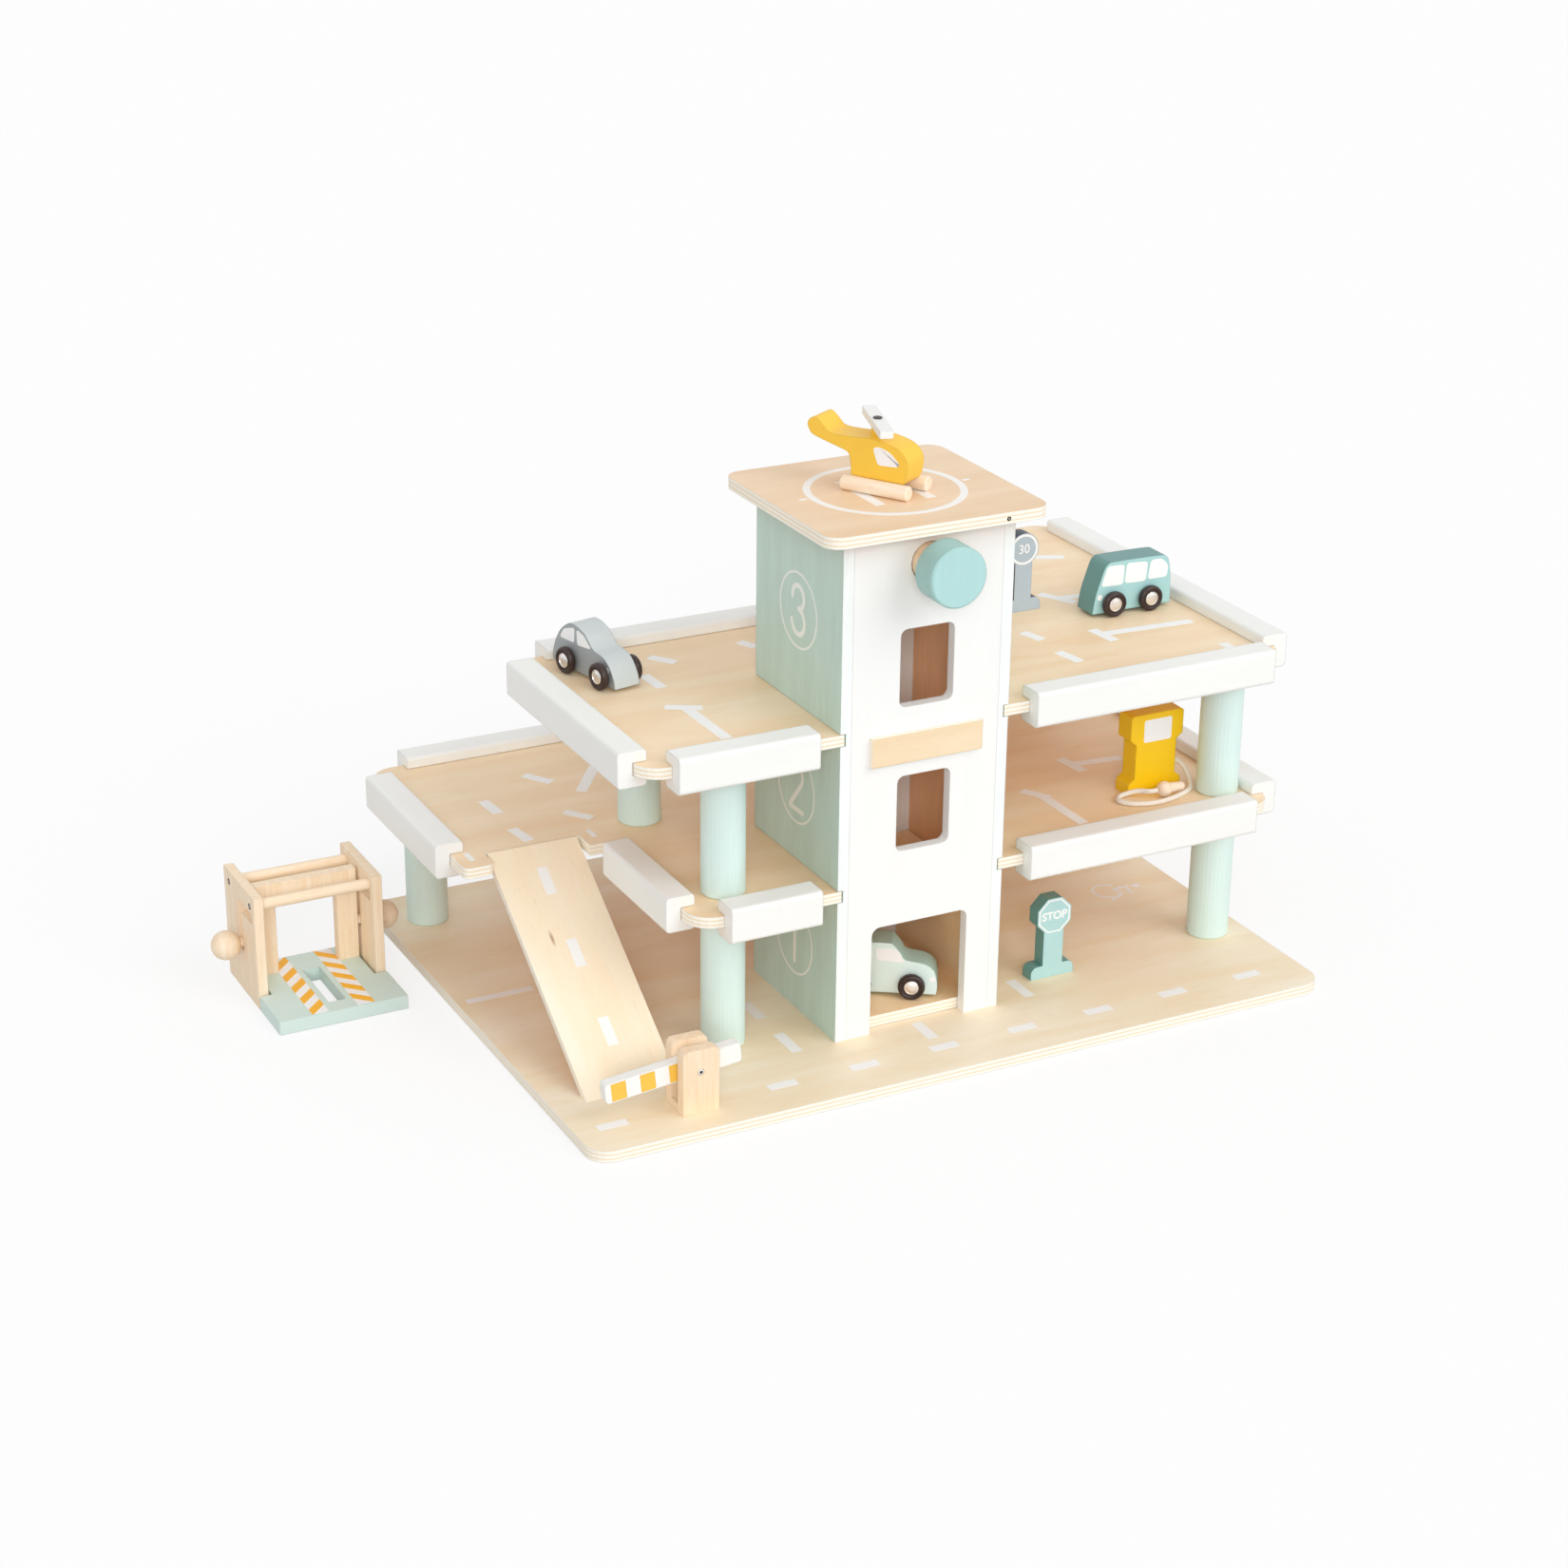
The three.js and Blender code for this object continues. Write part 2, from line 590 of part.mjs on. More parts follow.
// Knob, winding shaft, cord and cabin of the lift
function addLift() {
  const knobFront = TOWER_FRONT - KNOB_STANDOFF - KNOB_LENGTH;
  const knob = turnedRod(KNOB_DIAMETER, KNOB_LENGTH, KNOB_EDGE, KNOB_SIDES);
  add('crank_knob', knob.rotateX(-Math.PI / 2), tealPaint, TOWER_MIDDLE_X, knobFront, SHAFT_Z);
  const shaftFront = knobFront + KNOB_LENGTH;
  const shaftLength = TOWER_BACK + SHAFT_TAIL - shaftFront;
  const shaft = turnedRod(SHAFT_DIAMETER, shaftLength, KNOB_EDGE, ROD_SIDES);
  add('winding_shaft', shaft.rotateX(-Math.PI / 2), beech, TOWER_MIDDLE_X, shaftFront, SHAFT_Z);
  const cordX = TOWER_MIDDLE_X + SHAFT_DIAMETER / 2 + FIT_GAP + CORD_DIAMETER / 2;
  const cordBottom = CABIN_TOP + FIT_GAP;
  const cordRadius = CORD_DIAMETER / 2;
  const cord = new THREE.CylinderGeometry(cordRadius, cordRadius, SHAFT_Z - cordBottom, HOSE_SIDES);
  cord.rotateX(Math.PI / 2);
  add('lift_cord', cord, cotton, cordX, TOWER_MIDDLE_Y, (SHAFT_Z + cordBottom) / 2);
  const left = TOWER_LEFT + PLY + RUN_GAP;
  const right = TOWER_RIGHT - PLY - RUN_GAP;
  const frame = rectangle(left, right, CABIN_UNDERSIDE, CABIN_TOP, 0);
  const inside = rectangle(left + PLY, right - PLY, CABIN_FLOOR, CABIN_TOP - PLY, 0);
  frame.holes.push(new THREE.Path(inside.getPoints(1)));
  const depth = TOWER_DEPTH - 2 * PLY - 2 * RUN_GAP;
  add('lift_cabin', standing(frame, depth), beech, 0, TOWER_FRONT + PLY + RUN_GAP);
}

// A rail lying along +X on a front edge, its groove round the edge of the deck
function railGeometry(length) {
  const half = RAIL_HEIGHT / 2;
  const grooveHalf = PLY / 2 + FIT_GAP;
  const section = outline([
    [-RAIL_OUTSIDE, -half, RAIL_EDGE_RADIUS],
    [RAIL_GRIP, -half, RAIL_EDGE_RADIUS],
    [RAIL_GRIP, -grooveHalf, 0],
    [-FIT_GAP, -grooveHalf, 0],
    [-FIT_GAP, grooveHalf, 0],
    [RAIL_GRIP, grooveHalf, 0],
    [RAIL_GRIP, half, RAIL_EDGE_RADIUS],
    [-RAIL_OUTSIDE, half, RAIL_EDGE_RADIUS],
  ], EDGE_STEPS);
  return standingSideways(section, length);
}

// A rail on the front, back, left or right edge of a deck. Its geometry starts at the left of a
// front edge, the back of a left one, the right of a back one and the front of a right one, so
// that it lies outside the edge
function addRail(name, side, edge, start, end, deckTop) {
  const rail = add(name, railGeometry(end - start), whitePaint);
  const z = deckTop - PLY / 2;
  if (side === 'front') {
    rail.position.set(start, edge, z);
  } else if (side === 'back') {
    rail.position.set(end, edge, z);
    rail.rotation.z = Math.PI;
  } else if (side === 'left') {
    rail.position.set(edge, end, z);
    rail.rotation.z = -Math.PI / 2;
  } else {
    rail.position.set(edge, start, z);
    rail.rotation.z = Math.PI / 2;
  }
}

function addLowerRails() {
  const sideEnd = LOWER_BACK - RAIL_BACK_CORNER_GAP;
  const leftStart = TONGUE_FRONT + RAIL_BACK_CORNER_GAP;
  addRail('lower_rail_left', 'left', 0, leftStart, sideEnd, LOWER_TOP);
  const rightEnd = DECK_RIGHT - RAIL_RIGHT_CORNER_GAP;
  addRail('lower_rail_back', 'back', LOWER_BACK, RAIL_BACK_CORNER_GAP, rightEnd, LOWER_TOP);
  const stepStart = TOWER_FRONT + RAIL_RIGHT_CORNER_GAP;
  const stepEnd = TONGUE_FRONT - RAIL_TONGUE_GAP;
  addRail('lower_rail_step', 'left', STEP_X, stepStart, stepEnd, LOWER_TOP);
  const cornerStart = STEP_X + RAIL_LEFT_CORNER_GAP;
  const towerStop = TOWER_LEFT - RAIL_TOWER_GAP;
  addRail('lower_rail_front_left', 'front', TOWER_FRONT, cornerStart, towerStop, LOWER_TOP);
  const towerStart = TOWER_RIGHT + RAIL_TOWER_GAP;
  addRail('lower_rail_front_right', 'front', TOWER_FRONT, towerStart, rightEnd, LOWER_TOP);
  const sideStart = TOWER_FRONT + RAIL_FRONT_CORNER_GAP;
  addRail('lower_rail_right', 'right', DECK_RIGHT, sideStart, sideEnd, LOWER_TOP);
}

function addUpperRails() {
  const sideStart = TOWER_FRONT + RAIL_FRONT_CORNER_GAP;
  const leftEnd = UPPER_LEFT_BACK - RAIL_LEFT_CORNER_GAP;
  addRail('upper_rail_left', 'left', UPPER_LEFT, sideStart, leftEnd, UPPER_TOP);
  const cornerStart = UPPER_LEFT + RAIL_LEFT_CORNER_GAP;
  const towerStop = TOWER_LEFT - RAIL_LONG_TOWER_GAP;
  addRail('upper_rail_front_left', 'front', TOWER_FRONT, cornerStart, towerStop, UPPER_TOP);
  const backStart = UPPER_LEFT + RAIL_RIGHT_CORNER_GAP;
  const backStop = UPPER_STEP_X - RAIL_STEP_GAP;
  addRail('upper_rail_back_left', 'back', UPPER_LEFT_BACK, backStart, backStop, UPPER_TOP);
  const towerStart = TOWER_RIGHT + RAIL_TOWER_GAP;
  const rightEnd = DECK_RIGHT - RAIL_TONGUE_GAP;
  addRail('upper_rail_front_right', 'front', TOWER_FRONT, towerStart, rightEnd, UPPER_TOP);
  const sideEnd = UPPER_BACK - RAIL_FRONT_CORNER_GAP;
  addRail('upper_rail_right', 'right', DECK_RIGHT, sideStart, sideEnd, UPPER_TOP);
  const farStart = UPPER_STEP_X + RAIL_RIGHT_CORNER_GAP;
  const farEnd = DECK_RIGHT - 2 * RAIL_RIGHT_CORNER_GAP;
  addRail('upper_rail_back_right', 'back', UPPER_BACK, farStart, farEnd, UPPER_TOP);
}

// Sloping board from the base to the notch of the lower deck
function addRamp() {
  const headY = TONGUE_FRONT + NOTCH_DEPTH - FIT_GAP;
  const slope = STOREY / (headY - RAMP_FOOT_Y);
  const upright = RAMP_THICKNESS * Math.hypot(1, slope);
  const side = outline([
    [RAMP_FOOT_Y, BASE_TOP, 0],
    [RAMP_FOOT_Y + upright / slope, BASE_TOP, 0],
    [headY, LOWER_TOP - upright, 0],
    [headY, LOWER_TOP, 0],
    [RAMP_FOOT_Y + RAMP_FOOT_EDGE, BASE_TOP + RAMP_FOOT_EDGE * slope, 0],
  ]);
  const left = LEFT_TONGUE_WIDTH + (NOTCH_WIDTH - RAMP_WIDTH) / 2;
  add('ramp', standingSideways(side, RAMP_WIDTH), plywood, left);
}

// Barrier post with two cheeks, and the boom with its pivot pin
function addBarrier() {
  const middleX = BARRIER_X + BARRIER_WIDTH / 2;
  const middleY = BARRIER_Y + BARRIER_DEPTH / 2;
  const pivotZ = BASE_TOP + BOOM_PIVOT_HEIGHT;
  const front = outline([
    [-BARRIER_WIDTH / 2, 0, 0],
    [BARRIER_WIDTH / 2, 0, 0],
    [BARRIER_WIDTH / 2, BARRIER_HEIGHT, BARRIER_CORNER_RADIUS],
    [-BARRIER_WIDTH / 2, BARRIER_HEIGHT, BARRIER_CORNER_RADIUS],
  ]);
  addRoundHole(front, 0, BOOM_PIVOT_HEIGHT, BOOM_PIN_DIAMETER / 2 + FIT_GAP);
  const slot = block(
    -BARRIER_WIDTH / 2 - CUT_OVERRUN,
    BARRIER_WIDTH / 2 + CUT_OVERRUN,
    (BARRIER_DEPTH - BARRIER_SLOT_WIDTH) / 2,
    (BARRIER_DEPTH + BARRIER_SLOT_WIDTH) / 2,
    BARRIER_SLOT_FLOOR,
    BARRIER_HEIGHT + CUT_OVERRUN,
  );
  add('barrier_post', cut(standing(front, BARRIER_DEPTH), [slot]), beech, middleX, BARRIER_Y, BASE_TOP);
  const half = BOOM_HEIGHT / 2;
  const bar = rectangle(-BOOM_LEFT_ARM, BOOM_RIGHT_ARM, -half, half, BOOM_CORNER_RADIUS);
  const pin = turnedRod(BOOM_PIN_DIAMETER, BARRIER_DEPTH, FIT_GAP, ROD_SIDES);
  pin.rotateX(-Math.PI / 2).translate(0, -BARRIER_DEPTH / 2, 0);
  const boom = join([standing(bar, BOOM_THICKNESS).translate(0, -BOOM_THICKNESS / 2, 0), pin]);
  const mesh = add('barrier_boom', boom, whitePaint, middleX, middleY, pivotZ);
  mesh.rotation.y = -THREE.MathUtils.degToRad(BOOM_TILT_DEGREES);
}

// One axle with its two wheels, turned in one profile about the axle
function wheelset() {
  const radius = WHEEL_DIAMETER / 2;
  const hub = HUB_DIAMETER / 2;
  const axle = AXLE_DIAMETER / 2;
  const inner = BODY_WIDTH / 2 + WHEEL_GAP;
  const outer = inner + WHEEL_WIDTH;
  const half = [
    [axle, inner],
    [radius - WHEEL_EDGE, inner],
    [radius, inner + WHEEL_EDGE],
    [radius, outer - WHEEL_EDGE],
    [radius - WHEEL_EDGE, outer],
    [hub + WHEEL_EDGE, outer],
    [hub, outer - WHEEL_RECESS],
    [hub - HUB_EDGE, outer],
    [0, outer],
  ];
  const mirrored = half.map(([r, height]) => [r, -height]).reverse();
  return turned([...mirrored, ...half], WHEEL_SIDES).rotateX(Math.PI / 2);
}

// A block-shaped vehicle with two loose axles through it, pushed to the right by the axle shift
function addVehicle(name, shares, axleShares, length, height, material, parent, axleShift = 0) {
  const shape = shareOutline(shares, length, height);
  const axleHeight = WHEEL_DIAMETER / 2 - GROUND_CLEARANCE;
  for (const share of axleShares) {
    addRoundHole(shape, share * length, axleHeight, AXLE_DIAMETER / 2 + FIT_GAP);
  }
  const body = standing(shape, BODY_WIDTH);
  add(`${name}_body`, body, material, -length / 2, -BODY_WIDTH / 2, GROUND_CLEARANCE, parent);
  const wheels = wheelset();
  ['rear', 'front'].forEach((end, index) => {
    const x = (axleShares[index] - 1 / 2) * length;
    add(`${name}_${end}_wheels`, wheels, brownRubber, x, -axleShift, WHEEL_DIAMETER / 2, parent);
  });
}

function addVehicles() {
  const deckCar = addGroup(ROUND_CAR_X, ROUND_CAR_Y, UPPER_TOP, ROUND_CAR_HEADING_DEGREES);
  addVehicle(
    'round_car', ROUND_CAR_SHARES, ROUND_CAR_AXLE_SHARES, ROUND_CAR_LENGTH, ROUND_CAR_HEIGHT,
    greyPaint, deckCar, ROUND_CAR_AXLE_SHIFT,
  );
  const bus = addGroup(BUS_X, BUS_Y, UPPER_TOP, BUS_HEADING_DEGREES);
  addVehicle('bus', BUS_SHARES, BUS_AXLE_SHARES, BUS_LENGTH, BUS_HEIGHT, tealPaint, bus);
  const liftCar = addGroup(LIFT_CAR_X, LIFT_CAR_Y, CABIN_FLOOR, LIFT_CAR_HEADING_DEGREES);
  addVehicle(
    'lift_car', LIFT_CAR_SHARES, LIFT_CAR_AXLE_SHARES, LIFT_CAR_LENGTH, LIFT_CAR_HEIGHT,
    palePaint, liftCar,
  );
}

// Helicopter: block body on two round skids, with a mast and a turning blade
function addHelicopter() {
  const group = addGroup(HELICOPTER_X, HELICOPTER_Y, ROOF_TOP, HELICOPTER_HEADING_DEGREES);
  const skidRadius = SKID_DIAMETER / 2;
  const overhang = (SKID_SPACING - HELICOPTER_BODY_WIDTH) / 2;
  const belly = skidRadius + Math.sqrt(skidRadius ** 2 - overhang ** 2) + FIT_GAP;
  const shape = shareOutline(HELICOPTER_SHARES, HELICOPTER_LENGTH, HELICOPTER_HEIGHT);
  const left = -MAST_SHARE * HELICOPTER_LENGTH;
  const body = standing(shape, HELICOPTER_BODY_WIDTH).translate(left, -HELICOPTER_BODY_WIDTH / 2, belly);
  const mastRoot = belly + HELICOPTER_HEIGHT / 2;
  const mast = turnedRod(MAST_DIAMETER, MAST_TOP - mastRoot, FIT_GAP, ROD_SIDES).translate(0, 0, mastRoot);
  const rotorTop = MAST_TOP + FIT_GAP + ROTOR_THICKNESS;
  const headZ = rotorTop + FIT_GAP;
  const pin = turned([
    [0, mastRoot],
    [ROTOR_PIN_DIAMETER / 2, mastRoot],
    [ROTOR_PIN_DIAMETER / 2, headZ],
    [ROTOR_PIN_HEAD_DIAMETER / 2, headZ],
    [ROTOR_PIN_HEAD_DIAMETER / 2, headZ + ROTOR_PIN_HEAD_HEIGHT / 2],
    [0, headZ + ROTOR_PIN_HEAD_HEIGHT],
  ], ROD_SIDES);
  add('helicopter_body', join([body, mast, pin]), yellowPaint, 0, 0, 0, group);
  const skid = turnedRod(SKID_DIAMETER, SKID_LENGTH, SKID_EDGE, ROD_SIDES).rotateY(Math.PI / 2);
  const skidX = left + HELICOPTER_LENGTH - SKID_LENGTH + SKID_NOSE_OVERHANG;
  add('helicopter_left_skid', skid, beech, skidX, SKID_SPACING / 2, skidRadius, group);
  add('helicopter_right_skid', skid, beech, skidX, -SKID_SPACING / 2, skidRadius, group);
  const blade = rectangle(
    -ROTOR_LENGTH / 2, ROTOR_LENGTH / 2, -ROTOR_WIDTH / 2, ROTOR_WIDTH / 2, ROTOR_CORNER_RADIUS,
  );
  addRoundHole(blade, 0, 0, ROTOR_PIN_DIAMETER / 2 + FIT_GAP);
  const rotor = add(
    'helicopter_rotor', lying(blade, ROTOR_THICKNESS), whitePaint, 0, 0, MAST_TOP + FIT_GAP, group,
  );
  rotor.rotation.z = THREE.MathUtils.degToRad(ROTOR_HEADING_DEGREES - HELICOPTER_HEADING_DEGREES);
}

// The lower half of a sign outline, from the right side of its post round the foot to the left
function signFoot(footWidth, postWidth) {
  const foot = footWidth / 2;
  const post = postWidth / 2;
  return {
    left: [
      [-post, SIGN_FOOT_HEIGHT, 0],
      [-foot, SIGN_FOOT_HEIGHT, SIGN_FOOT_RADIUS],
      [-foot, 0, 0],
    ],
    right: [
      [foot, 0, 0],
      [foot, SIGN_FOOT_HEIGHT, SIGN_FOOT_RADIUS],
      [post, SIGN_FOOT_HEIGHT, 0],
    ],
  };
}

function addStopSign() {
  const foot = signFoot(STOP_FOOT_WIDTH, STOP_POST_WIDTH);
  const flat = STOP_HEAD_WIDTH / 2;
  const corner = flat * Math.tan(Math.PI / 8);
  const post = STOP_POST_WIDTH / 2;
  const neckZ = STOP_HEAD_HEIGHT - flat + post - corner;
  const shape = outline([
    ...foot.left,
    ...foot.right,
    [post, neckZ, 0],
    [flat, STOP_HEAD_HEIGHT - corner, 0],
    [flat, STOP_HEAD_HEIGHT + corner, 0],
    [corner, STOP_HEAD_HEIGHT + flat, 0],
    [-corner, STOP_HEAD_HEIGHT + flat, 0],
    [-flat, STOP_HEAD_HEIGHT + corner, 0],
    [-flat, STOP_HEAD_HEIGHT - corner, 0],
    [-post, neckZ, 0],
  ]);
  add('stop_sign', standing(shape, SIGN_THICKNESS), tealPaint, STOP_X, STOP_Y, BASE_TOP);
}

function addSpeedSign() {
  const foot = signFoot(SPEED_FOOT_WIDTH, SPEED_POST_WIDTH);
  const radius = SPEED_HEAD_DIAMETER / 2;
  const start = Math.asin(SPEED_POST_WIDTH / SPEED_HEAD_DIAMETER) - Math.PI / 2;
  const sweep = Math.PI - 2 * start;
  const head = [];
  for (let step = 0; step <= KNOB_SIDES / 2; step += 1) {
    const angle = start + (sweep * step * 2) / KNOB_SIDES;
    head.push([radius * Math.cos(angle), SPEED_HEAD_HEIGHT + radius * Math.sin(angle), 0]);
  }
  const shape = outline([...foot.left, ...foot.right, ...head]);
  add('speed_sign', standing(shape, SIGN_THICKNESS), greyPaint, SPEED_X, SPEED_Y, UPPER_TOP);
}

// Fuel pump block, its hose and the turned nozzle on the end of the hose
function addPump() {
  const neckLeft = (PUMP_WIDTH - PUMP_NECK_WIDTH) / 2;
  const neckRight = neckLeft + PUMP_NECK_WIDTH;
  const shoulder = PUMP_SHOULDER_HEIGHT + PUMP_SHOULDER_SLOPE;
  const shape = outline([
    [0, 0, 0],
    [PUMP_WIDTH, 0, 0],
    [PUMP_WIDTH, PUMP_FOOT_HEIGHT, PUMP_CORNER_RADIUS],
    [neckRight, PUMP_FOOT_HEIGHT + PUMP_SHOULDER_SLOPE, 0],
    [neckRight, PUMP_SHOULDER_HEIGHT, 0],
    [PUMP_WIDTH, shoulder, 0],
    [PUMP_WIDTH, PUMP_HEIGHT, PUMP_CORNER_RADIUS],
    [0, PUMP_HEIGHT, PUMP_CORNER_RADIUS],
    [0, shoulder, 0],
    [neckLeft, PUMP_SHOULDER_HEIGHT, 0],
    [neckLeft, PUMP_FOOT_HEIGHT + PUMP_SHOULDER_SLOPE, 0],
    [0, PUMP_FOOT_HEIGHT, PUMP_CORNER_RADIUS],
  ]);
  add('fuel_pump', standing(shape, PUMP_DEPTH), yellowPaint, PUMP_LEFT, PUMP_Y, LOWER_TOP);
  const route = new THREE.CatmullRomCurve3(HOSE_POINTS.map((point) => new THREE.Vector3(...point)));
  const ring = new THREE.Shape();
  ring.absarc(0, 0, HOSE_DIAMETER / 2, 0, 2 * Math.PI);
  const section = new THREE.Shape(ring.getPoints(HOSE_SIDES / 2));
  const sweep = { steps: HOSE_PIECES, extrudePath: route, bevelEnabled: false };
  const hose = new THREE.ExtrudeGeometry(section, sweep);
  add('pump_hose', hose, whiteHose);
  const bead = BEAD_DIAMETER / 2;
  const profile = [[0, 0], [BEAD_NECK_DIAMETER / 2, 0]];
  const neckAngle = Math.asin(BEAD_NECK_DIAMETER / BEAD_DIAMETER);
  const rootAngle = Math.PI - Math.asin(NOZZLE_ROOT_DIAMETER / BEAD_DIAMETER);
  const middle = bead * Math.cos(neckAngle);
  for (let step = 1; step <= BALL_RINGS; step += 1) {
    const angle = neckAngle + ((rootAngle - neckAngle) * step) / BALL_RINGS;
    profile.push([bead * Math.sin(angle), middle - bead * Math.cos(angle)]);
  }
  const end = middle + bead + NOZZLE_LENGTH;
  const tip = NOZZLE_TIP_DIAMETER / 2;
  profile.push([tip, end - NOZZLE_TIP_EDGE], [tip - NOZZLE_TIP_EDGE, end], [0, end]);
  const nozzle = turned(profile, ROD_SIDES).rotateY(Math.PI / 2);
  add('pump_nozzle', nozzle, beech, NOZZLE_X - middle, NOZZLE_Y, LOWER_TOP + bead + FIT_GAP);
}

// A hoist side board with its hooked slot, its seats for the dowels cut on the inner face
function hoistSide(innerIsRight) {
  const slotMiddle = HOIST_SLOT_BACKSET;
  const half = HOIST_SLOT_WIDTH / 2;
  const side = rectangle(0, HOIST_SIDE_DEPTH, 0, HOIST_SIDE_HEIGHT, 0);
  const slot = outline([
    [slotMiddle - half, HOIST_SLOT_FLOOR, 0],
    [slotMiddle + half, HOIST_SLOT_FLOOR, 0],
    [slotMiddle + half, HOIST_SLOT_TOP, 0],
    [slotMiddle - HOIST_HOOK_LENGTH - half, HOIST_SLOT_TOP, 0],
    [slotMiddle - HOIST_HOOK_LENGTH - half, HOIST_SLOT_TOP - HOIST_SLOT_WIDTH, 0],
    [slotMiddle - half, HOIST_SLOT_TOP - HOIST_SLOT_WIDTH, 0],
  ]);
  side.holes.push(new THREE.Path(slot.getPoints(1)));
  const board = standingSideways(side, HOIST_SIDE_THICKNESS);
  const seatStart = innerIsRight ? HOIST_SIDE_THICKNESS - HOIST_DOWEL_SEAT : -CUT_OVERRUN;
  const seats = [HOIST_FRONT_DOWEL_Y, HOIST_BACK_DOWEL_Y].map((y) => {
    const seat = new THREE.CylinderGeometry(
      HOIST_DOWEL_DIAMETER / 2 + FIT_GAP,
      HOIST_DOWEL_DIAMETER / 2 + FIT_GAP,
      HOIST_DOWEL_SEAT + CUT_OVERRUN,
      ROD_SIDES,
    );
    seat.rotateZ(Math.PI / 2);
    return seat.translate(seatStart + (HOIST_DOWEL_SEAT + CUT_OVERRUN) / 2, y, HOIST_DOWEL_HEIGHT);
  });
  return cut(board, seats);
}

function addHoistFrame(hoist) {
  add('hoist_left_side', hoistSide(true), beech, 0, 0, 0, hoist);
  add('hoist_right_side', hoistSide(false), beech, HOIST_WIDTH - HOIST_SIDE_THICKNESS, 0, 0, hoist);
  const start = HOIST_SIDE_THICKNESS - HOIST_DOWEL_SEAT + FIT_GAP;
  const length = HOIST_WIDTH - 2 * start;
  const dowel = turnedRod(HOIST_DOWEL_DIAMETER, length, FIT_GAP, ROD_SIDES).rotateY(Math.PI / 2);
  add('hoist_front_dowel', dowel, beech, start, HOIST_FRONT_DOWEL_Y, HOIST_DOWEL_HEIGHT, hoist);
  add('hoist_back_dowel', dowel, beech, start, HOIST_BACK_DOWEL_Y, HOIST_DOWEL_HEIGHT, hoist);
}

// The T-shaped platform, wide in front of the sides and narrow between them
function addHoistPlatform(hoist) {
  const inset = HOIST_SIDE_THICKNESS + PLATFORM_SIDE_GAP;
  const shape = outline([
    [0, -PLATFORM_REACH, 0],
    [HOIST_WIDTH, -PLATFORM_REACH, 0],
    [HOIST_WIDTH, -PLATFORM_SIDE_GAP, 0],
    [HOIST_WIDTH - inset, -PLATFORM_SIDE_GAP, 0],
    [HOIST_WIDTH - inset, PLATFORM_BACKSET, 0],
    [inset, PLATFORM_BACKSET, 0],
    [inset, -PLATFORM_SIDE_GAP, 0],
    [0, -PLATFORM_SIDE_GAP, 0],
  ]);
  const hole = rectangle(
    (HOIST_WIDTH - PLATFORM_HOLE_WIDTH) / 2,
    (HOIST_WIDTH + PLATFORM_HOLE_WIDTH) / 2,
    PLATFORM_HOLE_FRONT - PLATFORM_REACH,
    PLATFORM_HOLE_FRONT + PLATFORM_HOLE_LENGTH - PLATFORM_REACH,
    0,
  );
  shape.holes.push(new THREE.Path(hole.getPoints(1)));
  add('hoist_platform', lying(shape, PLATFORM_THICKNESS), mintPaint, 0, 0, FIT_GAP, hoist);
}

// Two posts and a bar glued to the platform, with a ball on a peg through each side slot
function addHoistGantry(hoist) {
  const bottom = PLATFORM_THICKNESS + FIT_GAP;
  const front = HOIST_SLOT_BACKSET - GANTRY_POST_DEPTH / 2;
  const back = HOIST_SLOT_BACKSET + GANTRY_POST_DEPTH / 2;
  const left = HOIST_SIDE_THICKNESS + GANTRY_SIDE_GAP;
  const right = HOIST_WIDTH - left;
  const barBottom = GANTRY_BAR_TOP - GANTRY_BAR_HEIGHT;
  const frame = outline([
    [left, bottom, 0],
    [left + GANTRY_POST_WIDTH, bottom, 0],
    [left + GANTRY_POST_WIDTH, barBottom, 0],
    [right - GANTRY_POST_WIDTH, barBottom, 0],
    [right - GANTRY_POST_WIDTH, bottom, 0],
    [right, bottom, 0],
    [right, GANTRY_BAR_TOP, 0],
    [left, GANTRY_BAR_TOP, 0],
  ]);
  const gantry = standing(frame, back - front).translate(0, front, 0);
  const ballRadius = GANTRY_BALL_DIAMETER / 2;
  const ballX = -GANTRY_BALL_GAP - ballRadius;
  const pegEnd = left + GANTRY_POST_WIDTH / 2;
  const pegs = [1, -1].map((side) => {
    const peg = turnedRod(GANTRY_PEG_DIAMETER, pegEnd - ballX, FIT_GAP, ROD_SIDES).rotateY(Math.PI / 2);
    peg.translate(side > 0 ? ballX : HOIST_WIDTH - pegEnd, HOIST_SLOT_BACKSET, GANTRY_PEG_Z);
    return peg;
  });
  const balls = [ballX, HOIST_WIDTH - ballX].map((x) => {
    const ball = new THREE.SphereGeometry(ballRadius, ROD_SIDES, BALL_RINGS);
    return ball.translate(x, HOIST_SLOT_BACKSET, GANTRY_PEG_Z);
  });
  add('hoist_gantry', join([gantry, ...pegs, ...balls]), beech, 0, 0, 0, hoist);
}

function addHoist() {
  const hoist = addGroup(HOIST_X, HOIST_Y, 0, 0);
  addHoistFrame(hoist);
  addHoistPlatform(hoist);
  addHoistGantry(hoist);
}

addBase();
addColumns();
addDecks();
addTower();
addLift();
addLowerRails();
addUpperRails();
addRamp();
addBarrier();
addVehicles();
addHelicopter();
addStopSign();
addSpeedSign();
addPump();
addHoist();

export default garage;
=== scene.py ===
# The looks of the toy parking garage with lift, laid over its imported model.
from math import atan2, cos, hypot, pi, radians, sin

import bpy
from mathutils import Matrix, Vector


